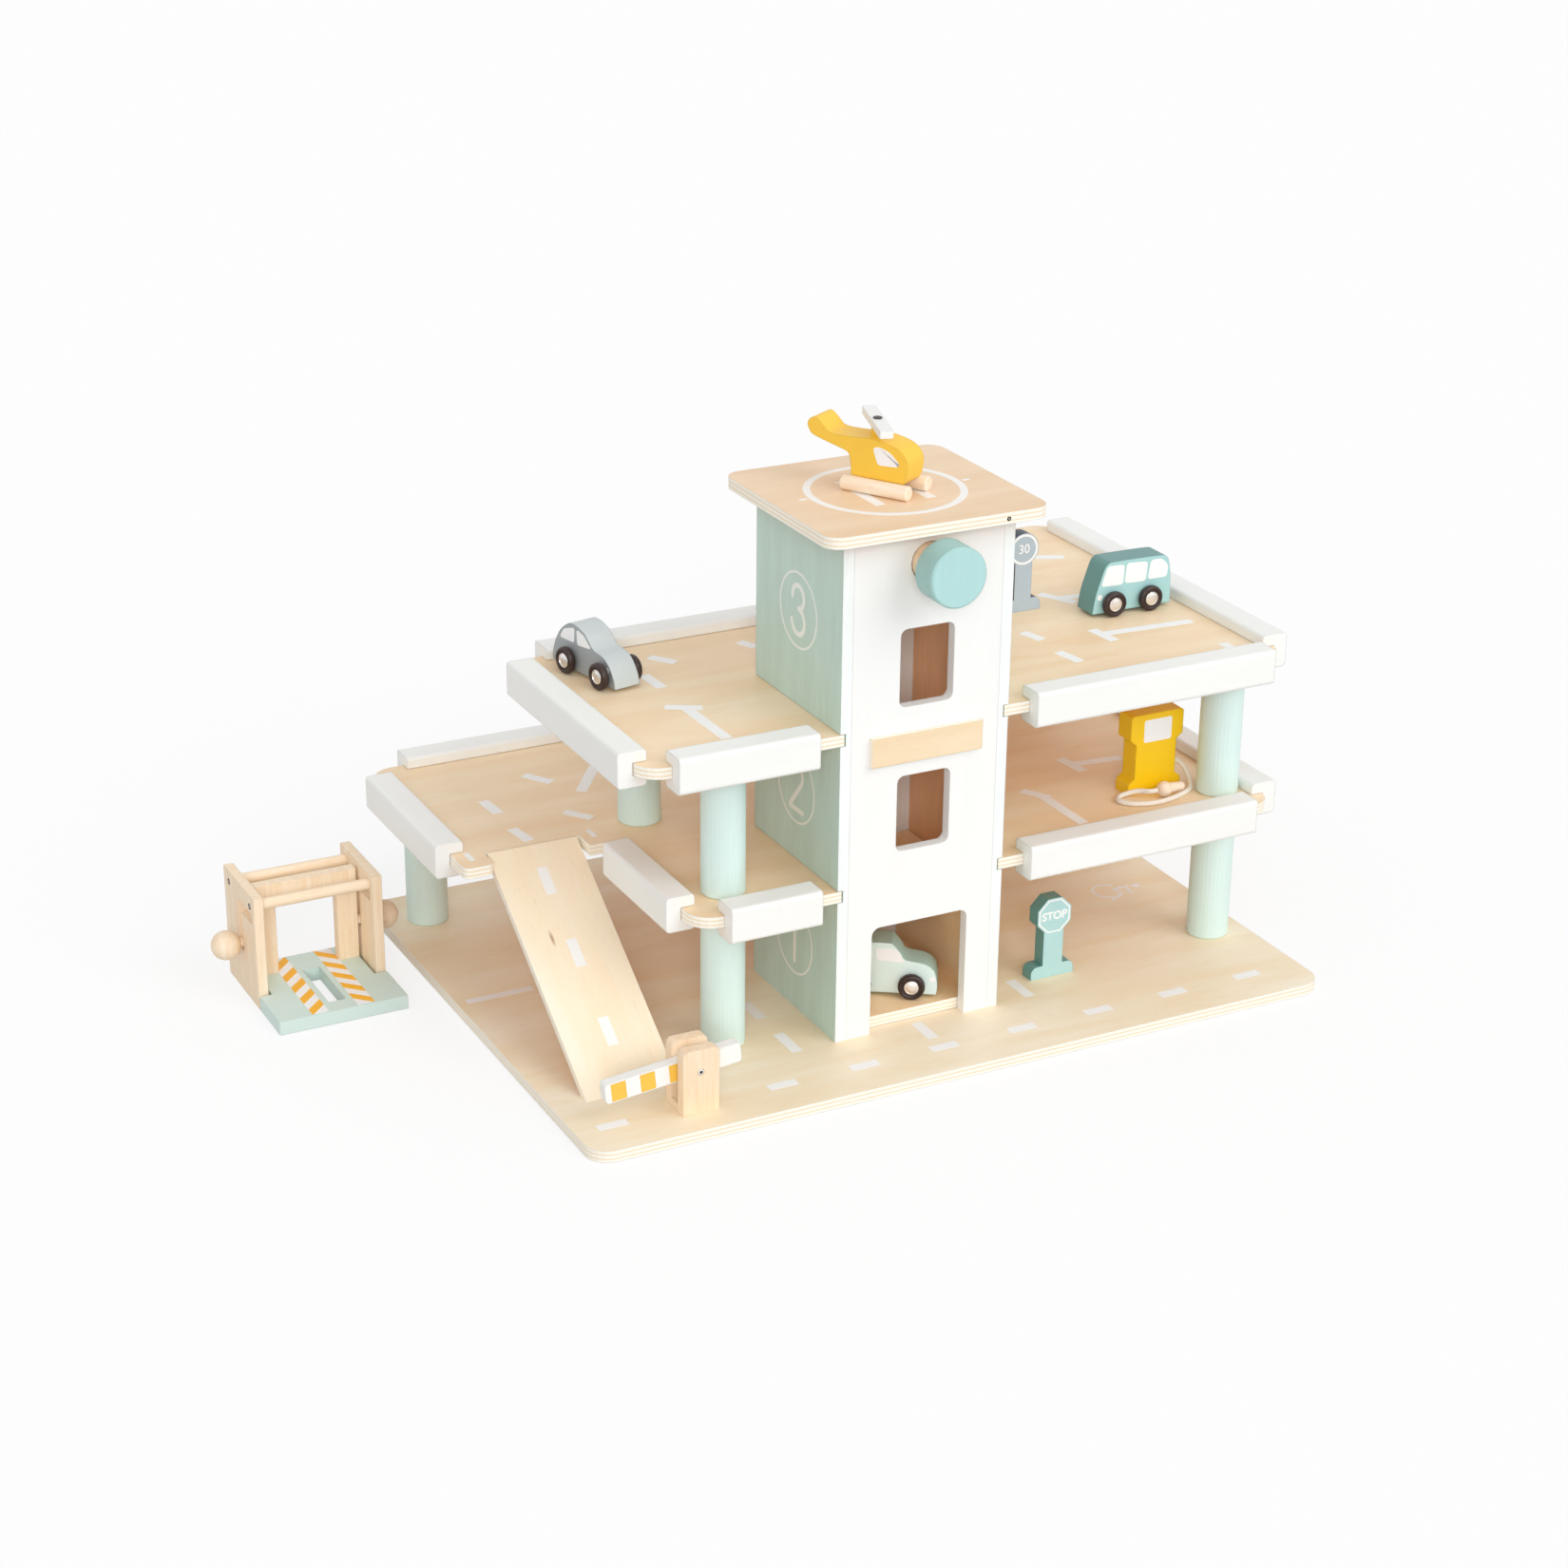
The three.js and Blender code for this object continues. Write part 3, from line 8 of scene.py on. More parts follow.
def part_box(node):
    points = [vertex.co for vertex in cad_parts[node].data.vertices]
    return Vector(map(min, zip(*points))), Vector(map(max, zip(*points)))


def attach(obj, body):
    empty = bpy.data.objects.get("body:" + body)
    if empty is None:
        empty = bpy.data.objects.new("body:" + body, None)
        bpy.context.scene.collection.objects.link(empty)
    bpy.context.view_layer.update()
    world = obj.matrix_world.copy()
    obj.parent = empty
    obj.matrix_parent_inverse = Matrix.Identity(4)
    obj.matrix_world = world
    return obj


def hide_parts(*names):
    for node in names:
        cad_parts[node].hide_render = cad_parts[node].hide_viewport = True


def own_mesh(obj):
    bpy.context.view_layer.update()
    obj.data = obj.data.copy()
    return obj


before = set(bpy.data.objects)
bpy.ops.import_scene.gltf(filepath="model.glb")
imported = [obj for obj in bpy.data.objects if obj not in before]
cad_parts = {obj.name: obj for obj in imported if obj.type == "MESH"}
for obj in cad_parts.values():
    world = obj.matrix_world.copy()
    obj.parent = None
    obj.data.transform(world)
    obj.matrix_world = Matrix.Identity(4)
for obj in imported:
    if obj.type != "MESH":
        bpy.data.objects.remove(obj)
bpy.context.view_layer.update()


# CAMERA AND STUDIO
# A white floor in a white room, with a wide soft lamp on the right in front and a smaller one
# beside the camera, which stands front left, well above the roof of the tower.
bpy.ops.object.camera_add(location=(-0.96369, -1.78109, 0.98967))
camera = bpy.context.object
camera_turn = Matrix.Rotation(radians(-27.3606), 3, "Z") @ Matrix.Rotation(radians(67), 3, "X")
camera.rotation_euler = (camera_turn @ Matrix.Rotation(radians(0.6106), 3, "Z")).to_euler()
camera.data.sensor_width = 36
camera.data.lens = 71.762
bpy.context.scene.camera = camera
bpy.context.scene.view_settings.view_transform = "Standard"

# each lamp's name, the direction that its light comes from, its strength and its width in degrees
lamps = (
    ("wide_lamp", (0.40, -0.70, 0.59), 0.95, 45),
    ("camera_lamp", (-0.42, -0.83, 0.37), 0.85, 20))
for name, lamp_from, strength, width in lamps:
    lamp_turn = Vector(lamp_from).to_track_quat("Z", "Y").to_euler()
    bpy.ops.object.light_add(type="SUN", rotation=lamp_turn)
    lamp = bpy.context.object
    lamp.name = name
    lamp.data.energy = strength
    lamp.data.angle = radians(width)


def linear(code):
    """A colour written as sRGB hex, in Blender's linear values"""
    parts = [int(code[start:start + 2], 16) / 255 for start in (1, 3, 5)]
    return [part / 12.92 if part <= 0.04045 else ((part + 0.055) / 1.055) ** 2.4
            for part in parts] + [1]


def add_node(tree, kind, sockets, **settings):
    """A node with its settings, its sockets given as values or as the outputs they are linked to"""
    node = tree.nodes.new(kind)
    for setting, value in settings.items():
        setattr(node, setting, value)
    for socket, value in sockets.items():
        if isinstance(value, bpy.types.NodeSocket):
            tree.links.new(value, node.inputs[socket])
        else:
            node.inputs[socket].default_value = value
    return node


def seen_directly(tree, share):
    """The share for rays that show the studio, straight or by a reflection, and 0 for its light"""
    path = add_node(tree, "ShaderNodeLightPath", {})
    glossy = add_node(
        tree, "ShaderNodeMath",
        {0: path.outputs["Is Camera Ray"], 1: path.outputs["Is Glossy Ray"]}, operation="MAXIMUM")
    seen = add_node(
        tree, "ShaderNodeMath",
        {0: glossy.outputs[0], 1: path.outputs["Is Transmission Ray"]}, operation="MAXIMUM")
    scaled = add_node(tree, "ShaderNodeMath", {0: seen.outputs[0], 1: share}, operation="MULTIPLY")
    return scaled.outputs[0]


# the room is drawn white, and lights the part a little less than it shows
room = bpy.data.worlds.new("white_room")
room.use_nodes = True
tree = room.node_tree
soft_light = add_node(tree, "ShaderNodeBackground", {"Color": linear("#ffffff"), "Strength": 0.66})
white_wall = add_node(tree, "ShaderNodeBackground", {"Color": linear("#ffffff"), "Strength": 1})
shown = add_node(
    tree, "ShaderNodeMixShader",
    {0: seen_directly(tree, 1), 1: soft_light.outputs[0], 2: white_wall.outputs[0]})
tree.links.new(shown.outputs[0], tree.nodes["World Output"].inputs["Surface"])
bpy.context.scene.world = room

# the paper sweep takes the shadow, and glows so that it fades into the room
bpy.ops.mesh.primitive_plane_add(size=40, location=(0, 0, -0.0003))
floor = bpy.context.object
floor.name = "studio_floor"
paper = bpy.data.materials.new("white_paper_sweep")
paper.use_nodes = True
tree = paper.node_tree
tree.nodes.remove(tree.nodes["Principled BSDF"])
tone = add_node(tree, "ShaderNodeMix", {
    0: seen_directly(tree, 1), 6: linear("#d2d2d2"), 7: linear("#ffffff")}, data_type="RGBA")
sheet = add_node(tree, "ShaderNodeBsdfDiffuse", {"Color": tone.outputs[2]})
glow = add_node(tree, "ShaderNodeEmission", {"Color": linear("#ffffff"), "Strength": 1})
shown = add_node(
    tree, "ShaderNodeMixShader",
    {0: seen_directly(tree, 0.76), 1: sheet.outputs[0], 2: glow.outputs[0]})
tree.links.new(shown.outputs[0], tree.nodes["Material Output"].inputs["Surface"])
floor.data.materials.append(paper)


# BASE BOARD
# An 8 mm birch plywood board, sawn with round corners, sanded and lacquered. The road lines and
# the parking sign for disabled drivers are screen printed on it in white.
def birch_plywood(name, planes, grain=(1, 6, 6), face="#f7e2be", light="#fdf1da", ripple=0.3):
    """Lacquered birch plywood, 2 mm plies with 1 mm plies between them on the edges, counted in mm
    from the outer planes, each a direction and where it lies. The eye sees a pale soft figure with
    short fibres on the faces and fine stripes on the edges"""
    material = bpy.data.materials.new(name)
    material.use_nodes = True
    tree = material.node_tree
    where = add_node(tree, "ShaderNodeTexCoord", {})
    # the figure of peeled birch is about 25 mm broad and 200 mm long, its fibres 0.7 by 12 mm
    broad = add_node(tree, "ShaderNodeMapping", {
        "Vector": where.outputs["Object"], "Scale": [5 * part for part in grain]})
    figure = add_node(tree, "ShaderNodeTexNoise", {
        "Vector": broad.outputs[0], "Scale": 1, "Detail": 4, "Roughness": 0.55, "Distortion": 0.5})
    fine = add_node(tree, "ShaderNodeMapping", {
        "Vector": where.outputs["Object"], "Scale": [80 * part ** 1.3 for part in grain]})
    fibres = add_node(tree, "ShaderNodeTexNoise", {
        "Vector": fine.outputs[0], "Scale": 1, "Detail": 3, "Roughness": 0.6})
    tone = add_node(tree, "ShaderNodeMapRange", {"Value": figure.outputs[0], 1: 0.34, 2: 0.68})
    veneer = add_node(tree, "ShaderNodeMix", {
        0: tone.outputs[0], 6: linear(light), 7: linear(face)}, data_type="RGBA")
    pores = add_node(tree, "ShaderNodeMapRange", {
        "Value": fibres.outputs[0], 1: 0.56, 2: 0.76, 3: 0, 4: 0.17})
    # faces turned down are painted a deep orange: a painted warm shade, which they cast by bounce
    # onto the wood beneath them
    parts = add_node(tree, "ShaderNodeSeparateXYZ", {0: where.outputs["Normal"]})
    below = add_node(tree, "ShaderNodeMapRange", {"Value": parts.outputs["Z"], 1: -0.5, 2: -0.8})
    warm_shade_underside = add_node(tree, "ShaderNodeMix", {
        0: below.outputs[0], 6: veneer.outputs[2], 7: linear("#f6b878")}, data_type="RGBA")
    face_colour = add_node(tree, "ShaderNodeMix", {
        0: pores.outputs[0], 6: warm_shade_underside.outputs[2], 7: linear("#c9a373")}, data_type="RGBA")
    # how deep a point lies under the nearest outer plane, and whether it is on a broad face
    depth = facing = None
    for direction, offset in planes:
        along = add_node(tree, "ShaderNodeVectorMath", {
            0: where.outputs["Object"], 1: direction}, operation="DOT_PRODUCT")
        reach = add_node(tree, "ShaderNodeMath", {
            0: along.outputs["Value"], 1: 1000, 2: -offset}, operation="MULTIPLY_ADD")
        turned_to = add_node(tree, "ShaderNodeVectorMath", {
            0: where.outputs["Normal"], 1: direction}, operation="DOT_PRODUCT")
        level = add_node(tree, "ShaderNodeMath", {
            0: turned_to.outputs["Value"]}, operation="ABSOLUTE")
        if depth is None:
            depth, facing = reach, level
        else:
            depth = add_node(tree, "ShaderNodeMath", {
                0: depth.outputs[0], 1: reach.outputs[0]}, operation="MINIMUM")
            facing = add_node(tree, "ShaderNodeMath", {
                0: facing.outputs[0], 1: level.outputs[0]}, operation="MAXIMUM")
    wavy = add_node(tree, "ShaderNodeMath", {
        0: figure.outputs[0], 1: ripple, 2: depth.outputs[0]}, operation="MULTIPLY_ADD")
    ply = add_node(tree, "ShaderNodeMath", {0: wavy.outputs[0], 1: 3}, operation="FLOORED_MODULO")
    middle = add_node(tree, "ShaderNodeMath", {0: ply.outputs[0], 1: 2.55}, operation="SUBTRACT")
    off_middle = add_node(tree, "ShaderNodeMath", {0: middle.outputs[0]}, operation="ABSOLUTE")
    cross_ply = add_node(tree, "ShaderNodeMapRange", {
        "Value": off_middle.outputs[0], 1: 0.38, 2: 0.6, 3: 1, 4: 0})
    layers = add_node(tree, "ShaderNodeMix", {
        0: cross_ply.outputs[0], 6: linear("#fffaee"), 7: linear("#f5e0bf")}, data_type="RGBA")
    end_grain = add_node(tree, "ShaderNodeMix", {
        0: pores.outputs[0], 6: layers.outputs[2], 7: linear("#c9a074")}, data_type="RGBA")
    on_face = add_node(tree, "ShaderNodeMapRange", {"Value": facing.outputs[0], 1: 0.5, 2: 0.75})
    colour = add_node(tree, "ShaderNodeMix", {
        0: on_face.outputs[0], 6: end_grain.outputs[2], 7: face_colour.outputs[2]},
        data_type="RGBA")
    shine = add_node(tree, "ShaderNodeMapRange", {"Value": fibres.outputs[0], 3: 0.4, 4: 0.56})
    soft_edge = add_node(tree, "ShaderNodeBevel", {"Radius": 0.0007}, samples=4)
    relief = add_node(tree, "ShaderNodeBump", {
        "Strength": 0.35, "Distance": 0.00015, "Height": fibres.outputs[0],
        "Normal": soft_edge.outputs[0]})
    shader = tree.nodes["Principled BSDF"]
    tree.links.new(colour.outputs[2], shader.inputs["Base Color"])
    tree.links.new(shine.outputs[0], shader.inputs["Roughness"])
    tree.links.new(relief.outputs[0], shader.inputs["Normal"])
    return material


def dress(finish, *nodes):
    """The finish put on CAD nodes"""
    for node in nodes:
        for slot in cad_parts[node].material_slots:
            slot.material = finish


BOARD = 8
GROUND = BOARD
dress(birch_plywood("birch_plywood_base", [((0, 0, 1), GROUND - BOARD)]), "base_board")


def printed_ink(name, colour, under="#e6d6bd"):
    """Screen printing ink on wood: a thin matt film that lets a little of the fibres through"""
    material = bpy.data.materials.new(name)
    material.use_nodes = True
    tree = material.node_tree
    where = add_node(tree, "ShaderNodeTexCoord", {})
    mesh_marks = add_node(tree, "ShaderNodeTexNoise", {
        "Vector": where.outputs["Object"], "Scale": 900, "Detail": 3})
    thin = add_node(tree, "ShaderNodeMapRange", {
        "Value": mesh_marks.outputs[0], 1: 0.5, 2: 0.8, 3: 0, 4: 0.25})
    ink = add_node(tree, "ShaderNodeMix", {
        0: thin.outputs[0], 6: linear(colour), 7: linear(under)}, data_type="RGBA")
    shine = add_node(tree, "ShaderNodeMapRange", {"Value": mesh_marks.outputs[0], 3: 0.5, 4: 0.65})
    shader = tree.nodes["Principled BSDF"]
    tree.links.new(ink.outputs[2], shader.inputs["Base Color"])
    tree.links.new(shine.outputs[0], shader.inputs["Roughness"])
    return material


white_ink = printed_ink("white_screen_ink", "#fbfbfa")


def at(x, y, z):
    """A place in mm from the front left corner of the base board, in metres of the shared frame"""
    return ((x - 280) / 1000, (y - 207) / 1000, z / 1000)


def print_marks(
        name, outlines, finish, body, spot, turn=(0, 0, 0), rings=(), corner=0, height=0.06):
    """Filled outlines, and rings as x, y, radius and width, in mm on the plane at spot and turn"""
    bpy.ops.object.select_all(action="DESELECT")
    bpy.ops.object.add(type="MESH")
    piece = bpy.context.object
    piece.name = name
    bpy.ops.object.mode_set(mode="EDIT")
    for x, y, radius, width in rings:
        bpy.ops.mesh.select_all(action="DESELECT")
        bpy.ops.mesh.primitive_circle_add(
            vertices=96, radius=radius / 1000, fill_type="NGON", location=(x / 1000, y / 1000, 0))
        bpy.ops.mesh.inset(thickness=width / 1000)
        bpy.ops.mesh.delete(type="FACE")
    bpy.ops.object.mode_set(mode="OBJECT")
    for index, outline in enumerate(outlines):
        # strokes that cross lie a hair over one another, as they do where ink is printed twice
        step = index * 0.000004
        first = len(piece.data.vertices)
        bpy.ops.object.mode_set(mode="EDIT")
        bpy.ops.mesh.select_all(action="DESELECT")
        bpy.ops.mesh.primitive_circle_add(vertices=len(outline), radius=0.01, fill_type="NGON")
        bpy.ops.object.mode_set(mode="OBJECT")
        for vertex, (x, y) in zip(piece.data.vertices[first:], outline):
            vertex.co = (x / 1000, y / 1000, step)
        if corner:
            bpy.ops.object.mode_set(mode="EDIT")
            bpy.ops.mesh.bevel(offset=corner / 1000, segments=5, affect="VERTICES")
            bpy.ops.object.mode_set(mode="OBJECT")
    bpy.ops.object.mode_set(mode="EDIT")
    bpy.ops.mesh.select_all(action="SELECT")
    bpy.ops.mesh.extrude_region_move(TRANSFORM_OT_translate={"value": (0, 0, height / 1000)})
    bpy.ops.mesh.select_all(action="SELECT")
    bpy.ops.mesh.normals_make_consistent(inside=False)
    bpy.ops.object.mode_set(mode="OBJECT")
    piece.rotation_euler = turn
    piece.location = spot
    bpy.ops.object.transform_apply(location=True, rotation=True, scale=True)
    piece.data.materials.append(finish)
    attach(piece, body)
    return piece


def bar(x0, y0, x1, y1, width=8):
    """A straight line of paint from end to end, as its four corners"""
    length = hypot(x1 - x0, y1 - y0)
    side_x = -(y1 - y0) / length * width / 2
    side_y = (x1 - x0) / length * width / 2
    return [(x0 + side_x, y0 + side_y), (x0 - side_x, y0 - side_y),
            (x1 - side_x, y1 - side_y), (x1 + side_x, y1 + side_y)]


def brush(points, width):
    """A line through points with round ends, as an outline"""
    sides = [[], []]
    for index, (x, y) in enumerate(points):
        before = points[max(index - 1, 0)]
        after = points[min(index + 1, len(points) - 1)]
        way = atan2(after[1] - before[1], after[0] - before[0])
        for side, sign in zip(sides, (1, -1)):
            side.append((x - sign * sin(way) * width / 2, y + sign * cos(way) * width / 2))
        if index in (0, len(points) - 1):
            start = way + (pi / 2 if index else -pi / 2)
            angles = [start - step * pi / 6 for step in range(1, 6)]
            cap = [(x + cos(angle) * width / 2, y + sin(angle) * width / 2) for angle in angles]
            if index:
                end_cap = cap
            else:
                start_cap = cap
    return sides[0] + end_cap + sides[1][::-1] + start_cap


# the lane marks of the base, the longer ones between the parking bays
base_lines = [bar(x, 31.5, x + 21, 31.5) for x in (16, 138, 199, 260, 321, 382, 443, 505)]
base_lines += [bar(178.5, 122, 178.5, 149), bar(178.5, 68, 178.5, 97), bar(270, 45, 270, 70)]
base_lines += [bar(361, 70, 361, 97), bar(7, 233, 56, 233, 7)]
base_marks = print_marks("base_road_lines", base_lines, white_ink, "garage", at(0, 0, GROUND))

# the wheelchair sign: the wheel, the seated figure's back and lap, its arm, leg and foot
wheel_rim = [(511, 200), (507.5, 203.2), (502.3, 204.5), (497, 202.6), (493.2, 199), (491.9, 194),
             (493, 188.8), (496.3, 184.6), (500.6, 182.8)]
parking_sign = [
    brush(wheel_rim, 2.4), brush([(509.5, 192.8), (510.2, 184.6), (499, 178.6)], 3.2),
    brush([(510, 194), (515.5, 194.6), (521, 194.4)], 3.4),
    brush([(519.4, 193), (518, 182.6)], 2.4), brush([(526.6, 192.6), (528.2, 192.4)], 5.4)]
sign_print = print_marks("base_parking_sign", parking_sign, white_ink, "garage", at(0, 0, GROUND))


# COLUMNS
# Eight turned beech rods of 30 mm between the boards, dipped in satin mint paint. They are screwed
# from above and below, so no fastener shows.
def satin_paint(
        name, colour, grain=(1, 1, 0.05), other_sides=(), shade=0.05, edge=0.0009, shine=0.42):
    """Two thin coats of satin acrylic paint, sprayed on sanded wood. The eye sees an even colour
    with the faintest streaks and relief of the grain, and a soft light along the edges. Other
    sides are given as a direction and the colour of the faces turned to it"""
    material = bpy.data.materials.new(name)
    material.use_nodes = True
    tree = material.node_tree
    where = add_node(tree, "ShaderNodeTexCoord", {})
    # grain lines come through the paint about 1 mm apart, clouds of thicker paint about 40 mm
    fine = add_node(tree, "ShaderNodeMapping", {
        "Vector": where.outputs["Object"], "Scale": [700 * part for part in grain]})
    lines = add_node(tree, "ShaderNodeTexNoise", {
        "Vector": fine.outputs[0], "Scale": 1, "Detail": 4, "Roughness": 0.6})
    wide = add_node(tree, "ShaderNodeMapping", {
        "Vector": where.outputs["Object"], "Scale": [70 * part ** 0.6 for part in grain]})
    clouds = add_node(tree, "ShaderNodeTexNoise", {
        "Vector": wide.outputs[0], "Scale": 1, "Detail": 3})
    coat = add_node(tree, "ShaderNodeMath", {
        0: lines.outputs[0], 1: clouds.outputs[0]}, operation="MULTIPLY")
    thin = add_node(tree, "ShaderNodeMapRange", {
        "Value": coat.outputs[0], 1: 0.12, 2: 0.42, 3: 1 - shade, 4: 1 + shade / 4})
    paint = linear(colour)
    for direction, side_colour in other_sides:
        toward = add_node(tree, "ShaderNodeVectorMath", {
            0: where.outputs["Normal"], 1: direction}, operation="DOT_PRODUCT")
        side = add_node(tree, "ShaderNodeMapRange", {
            "Value": toward.outputs["Value"], 1: 0.6, 2: 0.8})
        paint = add_node(tree, "ShaderNodeMix", {
            0: side.outputs[0], 6: paint, 7: linear(side_colour)}, data_type="RGBA").outputs[2]
    toned = add_node(tree, "ShaderNodeVectorMath", {
        0: paint if isinstance(paint, bpy.types.NodeSocket) else paint[:3],
        "Scale": thin.outputs[0]}, operation="SCALE")
    gloss = add_node(tree, "ShaderNodeMapRange", {
        "Value": lines.outputs[0], 3: shine - 0.05, 4: shine + 0.09})
    soft_edge = add_node(tree, "ShaderNodeBevel", {"Radius": edge}, samples=4)
    relief = add_node(tree, "ShaderNodeBump", {
        "Strength": 0.3, "Distance": 0.0001, "Height": lines.outputs[0],
        "Normal": soft_edge.outputs[0]})
    shader = tree.nodes["Principled BSDF"]
    tree.links.new(toned.outputs[0], shader.inputs["Base Color"])
    tree.links.new(gloss.outputs[0], shader.inputs["Roughness"])
    tree.links.new(relief.outputs[0], shader.inputs["Normal"])
    return material


mint_paint = satin_paint("mint_satin_paint_on_beech", "#def4ef")
dress(
    mint_paint, "column_ground_step_front", "column_ground_right_front", "column_ground_right_back",
    "column_ground_left_back", "column_first_step_front", "column_first_right_front",
    "column_first_right_back", "column_first_middle")


# DECKS
# Two 8 mm birch plywood decks, sawn with round corners and slotted into the tower walls. Their road
# lines are screen printed in white.
LOWER_DECK = 119.5
UPPER_DECK = 231
for deck, top in (("lower_deck", LOWER_DECK), ("upper_deck", UPPER_DECK)):
    deck_wood = birch_plywood(
        "birch_plywood_" + deck, [((0, 0, 1), top - BOARD)], face="#f6d7ae", light="#fce6c6")
    dress(deck_wood, deck)
lower_lines = [
    bar(98, 342, 111, 322), bar(123, 297, 150, 335), bar(54, 311, 56, 287),
    bar(54, 258, 57, 234), bar(98, 269, 111, 251), bar(461, 201, 464, 174),
    bar(464, 188, 502, 184), bar(405, 162, 416, 143), bar(413, 151, 414, 94),
    bar(10, 220, 10, 233, 4), bar(100, 220.5, 100, 233.5, 4)]
lower_print = print_marks(
    "lower_deck_road_lines", lower_lines, white_ink, "garage", at(0, 0, LOWER_DECK))
upper_lines = [
    bar(156, 252, 168, 235), bar(225, 252, 231, 238), bar(138, 222, 139.5, 196),
    bar(126, 163, 148, 151), bar(138, 157, 139, 96), bar(460, 167, 463, 141),
    bar(463, 156, 534, 151), bar(413, 183, 418, 164), bar(415, 139, 419, 116),
    bar(505, 320, 526, 310), bar(465.7, 247, 480, 220), bar(473, 233.5, 500, 229),
    bar(528, 92, 528, 104)]
upper_print = print_marks(
    "upper_deck_road_lines", upper_lines, white_ink, "garage", at(0, 0, UPPER_DECK))


# RAILS
# Twelve grooved softwood rails pushed onto the edges of the decks, rounded along their corners
# and sprayed white.
dress(
    satin_paint(
        "white_satin_paint_on_rails", "#f7f7f4", grain=(0.1, 0.1, 1), shade=0.02, edge=0.0015),
    "lower_rail_left", "lower_rail_back", "lower_rail_step", "lower_rail_front_left",
    "lower_rail_front_right", "lower_rail_right", "upper_rail_left", "upper_rail_front_left",
    "upper_rail_back_left", "upper_rail_front_right", "upper_rail_right", "upper_rail_back_right")


# LIFT TOWER
# Two sage side walls with mint edges, bare inside, and two white panels between them, all 8 mm
# plywood, glued. A bare plate hangs over the middle of the front. The storeys are numbered on the
# left wall, each number in a thin ring.
# the bare inner faces take a brighter and redder tone than the other birch: bare wood, with painted
# warm light inside the dim shaft
for wall, inward in (("tower_left_wall", 1), ("tower_right_wall", -1)):
    dress(
        satin_paint(
            "sage_satin_paint_" + wall, "#c8e1d7", shade=0.1, other_sides=[
                ((inward, 0, 0), "#ffc899"), ((0, -1, 0), "#fafffd"), ((0, 1, 0), "#fafffd")]),
        wall)
dress(
    satin_paint("white_satin_paint_on_panels", "#f8f8f6", shade=0.02),
    "tower_front_panel", "tower_back_panel")
PLATE_BACK = -142.5
plate_wood = birch_plywood(
    "birch_plywood_name_plate", [((0, 1, 0), PLATE_BACK)], face="#f1d6ae", light="#f8e2c0")
dress(plate_wood, "name_plate")

WALL_LEFT = 207
NUMBER_Y = 129.4
pale_ink = printed_ink("pale_screen_ink", "#f1f5ee", "#c6dccf")


def arc(x, y, radius, start, end):
    """Points of an arc, its angles in degrees"""
    steps = max(4, round(abs(end - start) / 10))
    angles = [radians(start + (end - start) * step / steps) for step in range(steps + 1)]
    return [(x + radius * cos(angle), y + radius * sin(angle)) for angle in angles]


# each number's name, the height of its middle, and its brush strokes from there
numbers = (
    ("three", 297, [arc(-0.4, 8.9, 8, 186, -82), arc(-0.2, -7.7, 8.9, 86, -174)]),
    ("two", 172.3, [arc(0, 8, 9, 178, -24) + [(-8.6, -15.6)], [(-8.8, -16.4), (9.6, -16.4)]]),
    ("one", 60, [[(0.5, 17), (0.5, -17)]]),
)
for name, height, lines in numbers:
    number = print_marks(
        "tower_number_" + name, [brush(line, 3.6) for line in lines], pale_ink, "garage",
        at(WALL_LEFT, NUMBER_Y, height), (pi / 2, 0, -pi / 2), rings=[(0, 0, 26.5, 1.6)])


# ROOF
# A square birch plywood board with round corners on top of the tower, with a printed helipad. One
# small dark screw shows in its front edge.
ROOF = 371
roof_wood = birch_plywood(
    "birch_plywood_roof", [((0, 0, 1), ROOF - BOARD)], face="#efcfaa", light="#f6dcbd")
dress(roof_wood, "roof_board")
letter_h = [
    bar(251, 101, 251, 157, 7.5), bar(288.5, 101, 288.5, 157, 7.5),
    bar(254.7, 129, 284.8, 129, 7.5)]
helipad = print_marks(
    "helipad_print", letter_h + [bar(208.5, 133, 214, 133, 3), bar(325, 125, 330.5, 125, 3)],
    white_ink, "garage", at(0, 0, ROOF), rings=[(269.5, 128.8, 54, 5)])


def turned(name, profile, sides, finish):
    """A turned piece: a disc drawn out along its axis through radius and height pairs in mm"""
    bpy.ops.object.select_all(action="DESELECT")
    bpy.ops.mesh.primitive_circle_add(
        vertices=sides, radius=profile[0][0] / 1000, fill_type="NGON",
        location=(0, 0, profile[0][1] / 1000))
    piece = bpy.context.object
    piece.name = name
    bpy.ops.object.transform_apply(location=True, rotation=True, scale=True)
    bpy.ops.object.mode_set(mode="EDIT")
    bpy.ops.mesh.select_all(action="SELECT")
    for (radius, height), (next_radius, next_height) in zip(profile, profile[1:]):
        bpy.ops.mesh.extrude_region_move(
            TRANSFORM_OT_translate={"value": (0, 0, (next_height - height) / 1000)})
        share = next_radius / radius
        bpy.ops.transform.resize(
            value=(share, share, 1), center_override=(0, 0, next_height / 1000))
    bpy.ops.mesh.select_all(action="SELECT")
    bpy.ops.mesh.normals_make_consistent(inside=False)
    bpy.ops.object.mode_set(mode="OBJECT")
    bpy.ops.object.shade_smooth_by_angle(angle=radians(32))
    piece.data.materials.append(finish)
    return piece


def place(piece, spot, turn=(0, 0, 0)):
    """The piece turned and moved to its spot, with its place in its mesh"""
    bpy.ops.object.select_all(action="DESELECT")
    piece.select_set(True)
    bpy.context.view_layer.objects.active = piece
    piece.rotation_euler = turn
    piece.location = spot
    bpy.ops.object.transform_apply(location=True, rotation=True, scale=True)


